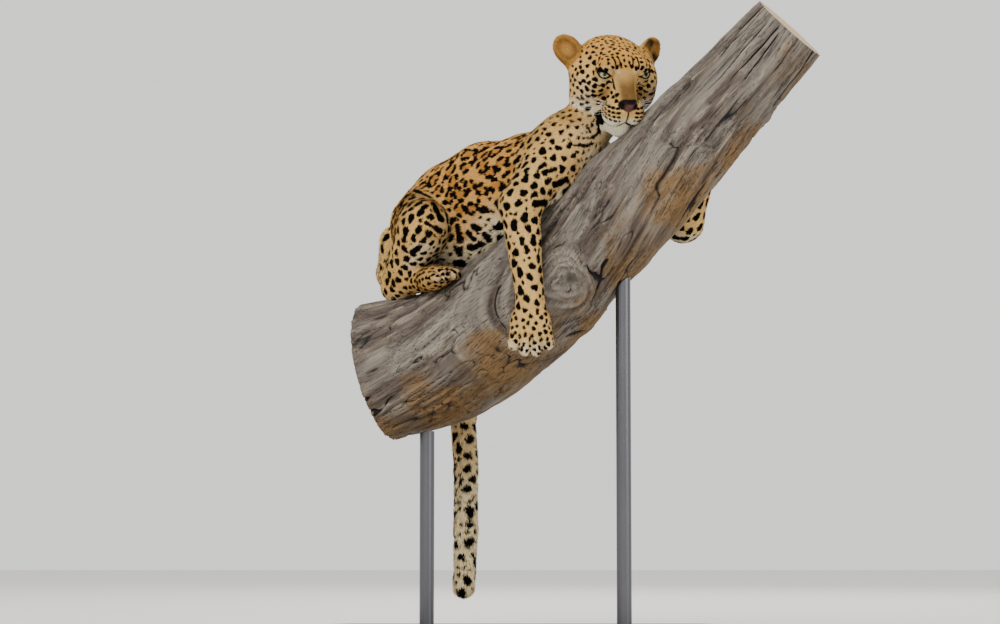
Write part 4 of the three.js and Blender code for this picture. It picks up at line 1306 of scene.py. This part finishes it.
def makeEyes():
    material = makeEyeMaterial()
    for side, node in ((-1, "eye_right"), (1, "eye_left")):
        at = placed(head, (face["eyeAt"][0], side * face["eyeAt"][1], face["eyeAt"][2]))
        ahead = turned(head, (face["gaze"][0], side * eyeLook["turn"], face["gaze"][2]))
        place = frameAt(at, ahead, (0, 0, 1))
        polar = math.pi * (np.arange(eyeLook["rings"] + 1) / eyeLook["rings"]) ** 1.3
        around = np.arange(eyeLook["around"]) / eyeLook["around"] * 2 * math.pi
        p, a = np.meshgrid(polar[1:-1], around, indexing="ij")
        radius = face["eyeRadius"] - eyeLook["inset"]
        r = radius + eyeLook["bulge"] * np.exp(-(p / eyeLook["bulgeSpread"]) ** 2)
        ring = np.stack([r * np.cos(p), r * np.sin(p) * np.cos(a), r * np.sin(p) * np.sin(a)], -1)
        local = np.vstack([ring.reshape(-1, 3), (radius + eyeLook["bulge"], 0, 0), (-radius, 0, 0)])
        rows, n = len(polar) - 2, eyeLook["around"]
        faces = [
            (i * n + j, (i + 1) * n + j, (i + 1) * n + (j + 1) % n, i * n + (j + 1) % n)
            for i in range(rows - 1) for j in range(n)
        ]
        faces += [(rows * n, j, (j + 1) % n) for j in range(n)]
        faces += [(rows * n + 1, (rows - 1) * n + (j + 1) % n, (rows - 1) * n + j) for j in range(n)]
        eye = makeObject(node + "_ball", placed(place, local), faces)
        angles = np.concatenate([p.ravel(), [0, math.pi]])
        setField(eye.data, "angle", angles)
        eye.data.materials.append(material)
        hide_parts(node)


makeEyes()
print("eyes made")


# Whiskers: thin bent hairs from the muzzle

whiskers = {
    "rows": (-24, -31, -38), "each": 6, "apart": 7.5, "length": (55, 105), "thickness": 0.45,
    "steps": 8, "taper": 0.85, "droop": 0.35,
}


def whiskerLine(side, row, n, draw):  # the centreline of one hair, and the way it leaves the skin
    guess = placed(head, (98 - whiskers["apart"] * n, side * (26 + 2.2 * n), row + draw.uniform(-1, 1)))
    root, i, _ = skinTree.find(guess)
    length = draw.uniform(*whiskers["length"]) * (0.6 + 0.4 * n / whiskers["each"])
    out = turned(head, (0.25 - 0.14 * n, side, 0.1 + draw.uniform(-0.25, 0.15)))
    out = unit(out + normals[i] * 0.5)
    fall = turned(head, (-0.5, side * 0.1, -0.55)) * whiskers["droop"]
    t = (np.arange(whiskers["steps"] + 1) / whiskers["steps"])[:, None]
    return np.array(root) - out * 1.5 + out * t * length + fall * length * t**2, out


def makeWhiskers():
    draw = np.random.default_rng(31)
    hairs, faces = [], []
    t = np.arange(whiskers["steps"] + 1) / whiskers["steps"]
    radius = whiskers["thickness"] * (1 - whiskers["taper"] * t)[:, None] * 0.5
    rows = len(t)
    plan = [(side, row, n) for side in (-1, 1) for row in whiskers["rows"] for n in range(whiskers["each"])]
    for number, (side, row, n) in enumerate(plan):
        line, out = whiskerLine(side, row, n, draw)
        across, up = frameAt(line[0], out, (0.3, 0.1, 1))[1][1:]
        start = number * rows * 3
        for k in range(3):
            turn = 2 * math.pi * k / 3
            hairs.append(line + (across * math.cos(turn) + up * math.sin(turn)) * radius)
            a, b = start + k * rows, start + (k + 1) % 3 * rows
            faces += [(a + j, b + j, b + j + 1, a + j + 1) for j in range(rows - 1)]
        first, last = [start + k * rows for k in (0, 2, 1)], [start + k * rows - 1 for k in (1, 2, 3)]
        faces += [tuple(first), tuple(last)]
    made = makeObject("whiskers", np.vstack(hairs), faces)
    paint = Paint("whisker")
    tone = paint.mix(paint.grain(40, 2, paint.objectPlace()), shown(238, 234, 222), shown(216, 208, 190))
    made.data.materials.append(paint.finish({"Base Color": tone}, {"Roughness": 0.45}))
    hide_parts("head")


makeWhiskers()
print("whiskers made")


# Branch: weathered wood with furrows, cracks, knots and sawn ends

wood = {
    "furrow": 3.4, "fine": 1.1, "lump": 3.5, "crackDepth": 8.0,
    "twist": 1.6, "stretch": 0.075,  # how the grain turns along the branch, and how long it is
    "crackStretch": 0.4, "crackThin": 11,
    "bend": (0.37, 0.585, 210),  # the big knot that the grain runs round: along, turn, reach in mm
    "knots": [  # along, turn, size, and whether it stands out or is hollow
        (0.385, 0.60, 17, -1.3), (0.95, 0.06, 26, 1.2), (0.86, 0.86, 20, 1), (0.78, 0.60, 15, 0.9),
        (0.12, 0.66, 18, 0.8), (0.55, 0.08, 20, 1), (0.2, 0.2, 24, 1),
    ],
}
# the crack colour is painted shade down in the cracks, and also the dark hair lines of the grain
woodColours = {
    "weathered": shown(106, 98, 89), "brown": shown(82, 71, 62), "dark": shown(38, 30, 26),
    "pale": shown(146, 136, 120), "ochre": shown(116, 84, 38), "crack": shown(14, 10, 9),
    "sawn": shown(196, 166, 122),
}


def knotPlaces(reach, turn, radius, length, at, angle):  # from a knot: mm along, mm round, and distance
    off = (turn - angle * 2 * math.pi + math.pi) % (2 * math.pi) - math.pi
    u, v = (reach - at) * length, off * radius
    return u, v, np.hypot(u, v)


def grainField(reach, turn, radius, length):  # furrows and cracks along the branch and round its big knot
    shape = turn.shape
    along = reach * length

    def cross(angle, swing=1):  # places across the branch
        return radius * np.cos(angle) * swing, radius * np.sin(angle) * swing

    def field(columns, size, seed, octaves):
        return noise(np.stack(columns, -1).reshape(-1, 3), size, seed, octaves).reshape(shape)

    twist = turn + reach * wood["twist"] + 0.12 * np.sin(reach * 11)
    warp = field([along, *cross(turn)], 70, 44, 2)
    straight = np.stack([along * wood["stretch"], *cross(twist, 1 + 0.09 * warp)], -1).reshape(-1, 3)
    at, angle, wide = wood["bend"]
    u, v, away = knotPlaces(reach, turn, radius, length, at, angle)
    away = away * (1 + 0.10 * warp) + 6 * np.sin(np.arctan2(v, u) * 3)
    ring = np.stack([away, u * 0.09, v * 0.09], -1).reshape(-1, 3)
    sway = np.clip(1 - away / (wide * np.where(u < 0, 1.35, 0.55)), 0, 1)
    bend = smooth(sway, 0.05, 0.45)

    def both(size, seed, octaves, stretch=1):
        a = noise(straight * (stretch, 1, 1), size, seed, octaves).reshape(shape)
        return a * (1 - bend) + noise(ring, size, seed + 50, octaves).reshape(shape) * bend

    furrows, fine, broad = both(9, 41, 2), both(4.2, 42, 1), both(30, 45, 2)
    wideCrack, thinCrack = (  # thin lines where a field crosses zero
        np.clip(1 - np.abs(both(size, seed, 1, wood["crackStretch"])) * wood["crackThin"], 0, 1)
        for size, seed in ((20, 46), (13, 48))
    )
    gate = field([along * 0.5, *cross(twist)], 60, 47, 2)
    crack = wideCrack * smooth(gate, 0.0, 0.22)
    crack = np.maximum(crack, 0.55 * thinCrack * smooth(-gate, 0.0, 0.25))
    return furrows, fine, broad, crack, straight


def makeBranch():
    along, around = branch["along"], branch["around"]
    t = np.arange(along + 1) / along
    centre, tangent, radius = branchPoint(t)
    reach, turn = np.meshgrid(t, np.arange(around) / around * 2 * math.pi, indexing="ij")
    frames = [frameAt(c, d, (0, 0, 1)) for c, d in zip(centre, tangent)]
    side = np.array([f[1][1] for f in frames])[:, None, :]
    up = np.array([f[1][2] for f in frames])[:, None, :]
    out = side * np.cos(turn)[..., None] + up * np.sin(turn)[..., None]
    big = radius[:, None]
    length = np.linalg.norm(np.diff(centre, axis=0), axis=1).sum()
    furrows, fine, broad, cracks, flat = grainField(reach, turn, big, length)
    lumps = noise((centre[:, None, :] + out * big[..., None]).reshape(-1, 3), 95, 43, 2).reshape(turn.shape)
    raised = wood["furrow"] * furrows + wood["fine"] * fine + wood["lump"] * (lumps + 0.6 * broad)
    knot = np.zeros(turn.shape)
    for at, angle, size, sign in wood["knots"]:
        away = knotPlaces(reach, turn, big, length, at, angle)[2] / size
        raised += sign * 8 * np.exp(-away**2) + 2.0 * np.sin(away * 7) * np.exp(-((away - 1.3) ** 2) * 1.5)
        # knots are darker wood, and a hollow knot twice as dark: painted shade in its hollow
        knot = np.maximum(knot, np.exp(-away**2 * 1.6) * (1 if sign < 0 else 0.5))
    raised -= wood["crackDepth"] * cracks
    places = centre[:, None, :] + out * (big - 1.0 + raised)[..., None]
    n = around
    faces = [
        (i * n + j, i * n + (j + 1) % n, (i + 1) * n + (j + 1) % n, (i + 1) * n + j)
        for i in range(along) for j in range(n)
    ]
    flatPlaces = places.reshape(-1, 3)
    rings = [flatPlaces]
    under = smooth(-out[..., 2] + 0.5 * lumps, 0.05, 0.75)
    fields = {
        "furrow": furrows.ravel(), "broad": broad.ravel(), "crack": cracks.ravel(), "knot": knot.ravel(),
        "under": under.ravel(), "sawn": np.zeros(turn.size),
    }
    total = len(flatPlaces)
    for end in (0, along):
        previous = end * n
        for k in range(1, 24):
            scale = 1 - k / 24
            rings.append(centre[end] + (places[end] - centre[end]) * scale)
            for j in range(n):
                quad = (previous + j, total + j, total + (j + 1) % n, previous + (j + 1) % n)
                faces.append(quad if end == 0 else quad[::-1])
            previous, total = total, total + n
            for name, values in fields.items():
                fields[name] = np.r_[values, np.full(n, scale * 10 if name == "sawn" else 0)]
        rings.append(centre[end][None])
        for j in range(n):
            triple = (previous + j, total, previous + (j + 1) % n)
            faces.append(triple if end == 0 else triple[::-1])
        total += 1
        for name, values in fields.items():
            fields[name] = np.r_[values, 0.01 if name == "sawn" else 0]
    made = makeObject("branch", np.vstack(rings), faces)
    for name, values in fields.items():
        setField(made.data, name, values)
    flatGrain = np.zeros((total, 3))
    flatGrain[:len(flat)] = flat
    flatGrain[len(flat):] = np.vstack(rings)[len(flat):]  # the sawn ends have a plain grain
    setField(made.data, "grain", flatGrain, "FLOAT_VECTOR")
    made.data.materials.append(makeWoodMaterial())
    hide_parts("perch_branch")


def makeWoodMaterial():
    paint = Paint("branch_wood")
    grain = paint.stretched(paint.field("grain", "Vector"), (0.001, 0.001, 0.001))
    fine = paint.grain(420, 5, grain, 0.7)
    fibre = paint.grain(210, 3, grain, 0.5)
    patches = paint.grain(9, 4, paint.objectPlace())
    line = paint.maths("ABSOLUTE", fibre - 0.5)
    hair = paint.step(line * -1, -0.03, -0.006) * paint.step(patches, 0.36, 0.52)
    furrow, broad, crack = paint.field("furrow"), paint.field("broad"), paint.field("crack")
    worn = paint.step(broad + (patches - 0.5) * 1.2, -0.35, 0.35)
    colour = paint.mix(worn, woodColours["brown"], woodColours["weathered"])
    # paler wood on the raised ridges and in the fine grain: partly bleached wood, partly a painted
    # highlight on the ridges
    light = paint.step(furrow * 0.5 + (fine - 0.5) * 2.4, -0.1, 0.7)
    colour = paint.mix(light * 0.7, colour, woodColours["pale"])
    under = paint.step(paint.field("under") + (patches - 0.5) * 2.4 + (fibre - 0.5) * 1.2, 0.45, 1.35)
    colour = paint.mix(under * 0.8, colour, woodColours["ochre"])
    # darker wood down in the furrows and in streaks of grain: partly dark wood, partly painted shade in the
    # furrows
    furrowShadeAndDarkGrain = paint.step(furrow * -0.6 + (fine - 0.5) * 2.6 + (fibre - 0.5) * 1.6, 0.0, 0.8)
    colour = paint.mix(furrowShadeAndDarkGrain * 0.7, colour, woodColours["dark"])
    colour = paint.mix(hair * 0.85, colour, woodColours["crack"])
    # darker knot wood, with painted shade in the hollow knot
    colour = paint.mix(paint.field("knot") * 0.75, colour, woodColours["dark"])
    # painted shade down in the cracks, near black
    colour = paint.mix(paint.step(crack, 0.12, 0.55), colour, woodColours["crack"])
    rings = paint.maths("SINE", paint.field("sawn") * 14 + fine * 2)
    sawn = paint.mix(paint.step(rings, -0.2, 0.9) * 0.45, woodColours["sawn"], woodColours["dark"])
    colour = paint.mix(paint.step(paint.field("sawn"), 0.0, 0.01), colour, sawn)
    return paint.finish({
        "Base Color": colour, "Roughness": 0.72 + fine * 0.2, "Normal": paint.bump(fine, 0.6, 0.002),
    }, {"Specular IOR Level": 0.3})


makeBranch()
print("branch made")


# Stand, floor and light


def standMaterial(name, colour, rough, metallic):
    paint = Paint(name)
    place = paint.objectPlace()
    fine = paint.grain(650, 2, place)
    wear = paint.grain(14, 4, place)
    tone = paint.mix(wear * 0.3, colour, tuple(c * 1.5 for c in colour))
    return paint.finish({
        "Base Color": tone, "Roughness": rough + wear * 0.12, "Normal": paint.bump(fine, 0.25, 0.0005),
    }, {"Metallic": metallic})


standLook = {
    "stand_base": ("stand_paint", shown(58, 58, 60), 0.42, 0.0),
    "stand_rod_rear": ("stand_metal", shown(92, 92, 96), 0.3, 1.0),
    "stand_rod_front": ("stand_metal", shown(92, 92, 96), 0.3, 1.0),
}
for node, look in standLook.items():
    material = standMaterial(*look)
    for thing in bpy.data.objects:
        if thing.get("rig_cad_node") == node:
            thing.data.materials.clear()
            thing.data.materials.append(material)

studio = {
    "floorReach": 9000,  # mm from the middle
    "floor": shown(226, 224, 220), "world": shown(236, 236, 234), "worldStrength": 1.35,
    "lamps": {  # place, aim, size in metres, watts
        "key": ((-1.6, -3.4, 3.4), (0, 0, 0.75), 2.4, 190),
        "fill": ((3.2, -2.6, 1.8), (0, 0, 0.7), 2.6, 60),
        "back": ((0.8, 3.4, 3.0), (0, 0, 0.8), 2.4, 90),
    },
}


def makeStudio():
    far = studio["floorReach"]
    corners = [(-far, -far, 0), (far, -far, 0), (far, far, 0), (-far, far, 0)]
    floor = makeObject("floor", corners, [(0, 1, 2, 3)])
    paint = Paint("floor")
    speckle = paint.grain(30, 3, paint.objectPlace())
    floor.data.materials.append(paint.finish({
        "Base Color": paint.mix(speckle * 0.2, studio["floor"], tuple(c * 0.9 for c in studio["floor"])),
    }, {"Roughness": 0.8}))
    world = bpy.data.worlds.new("studio")
    world.use_nodes = True
    backdrop = world.node_tree.nodes["Background"]
    backdrop.inputs["Color"].default_value = (*studio["world"], 1)
    backdrop.inputs["Strength"].default_value = studio["worldStrength"]
    bpy.context.scene.world = world
    for name, (at, aim, size, watts) in studio["lamps"].items():
        lamp = bpy.data.lights.new(name, "AREA")
        lamp.size = size
        lamp.energy = watts
        thing = bpy.data.objects.new(name, lamp)
        thing.location = at
        thing.rotation_euler = (Vector(aim) - Vector(at)).to_track_quat("-Z", "Y").to_euler()
        bpy.context.scene.collection.objects.link(thing)


makeStudio()
print("studio lit")
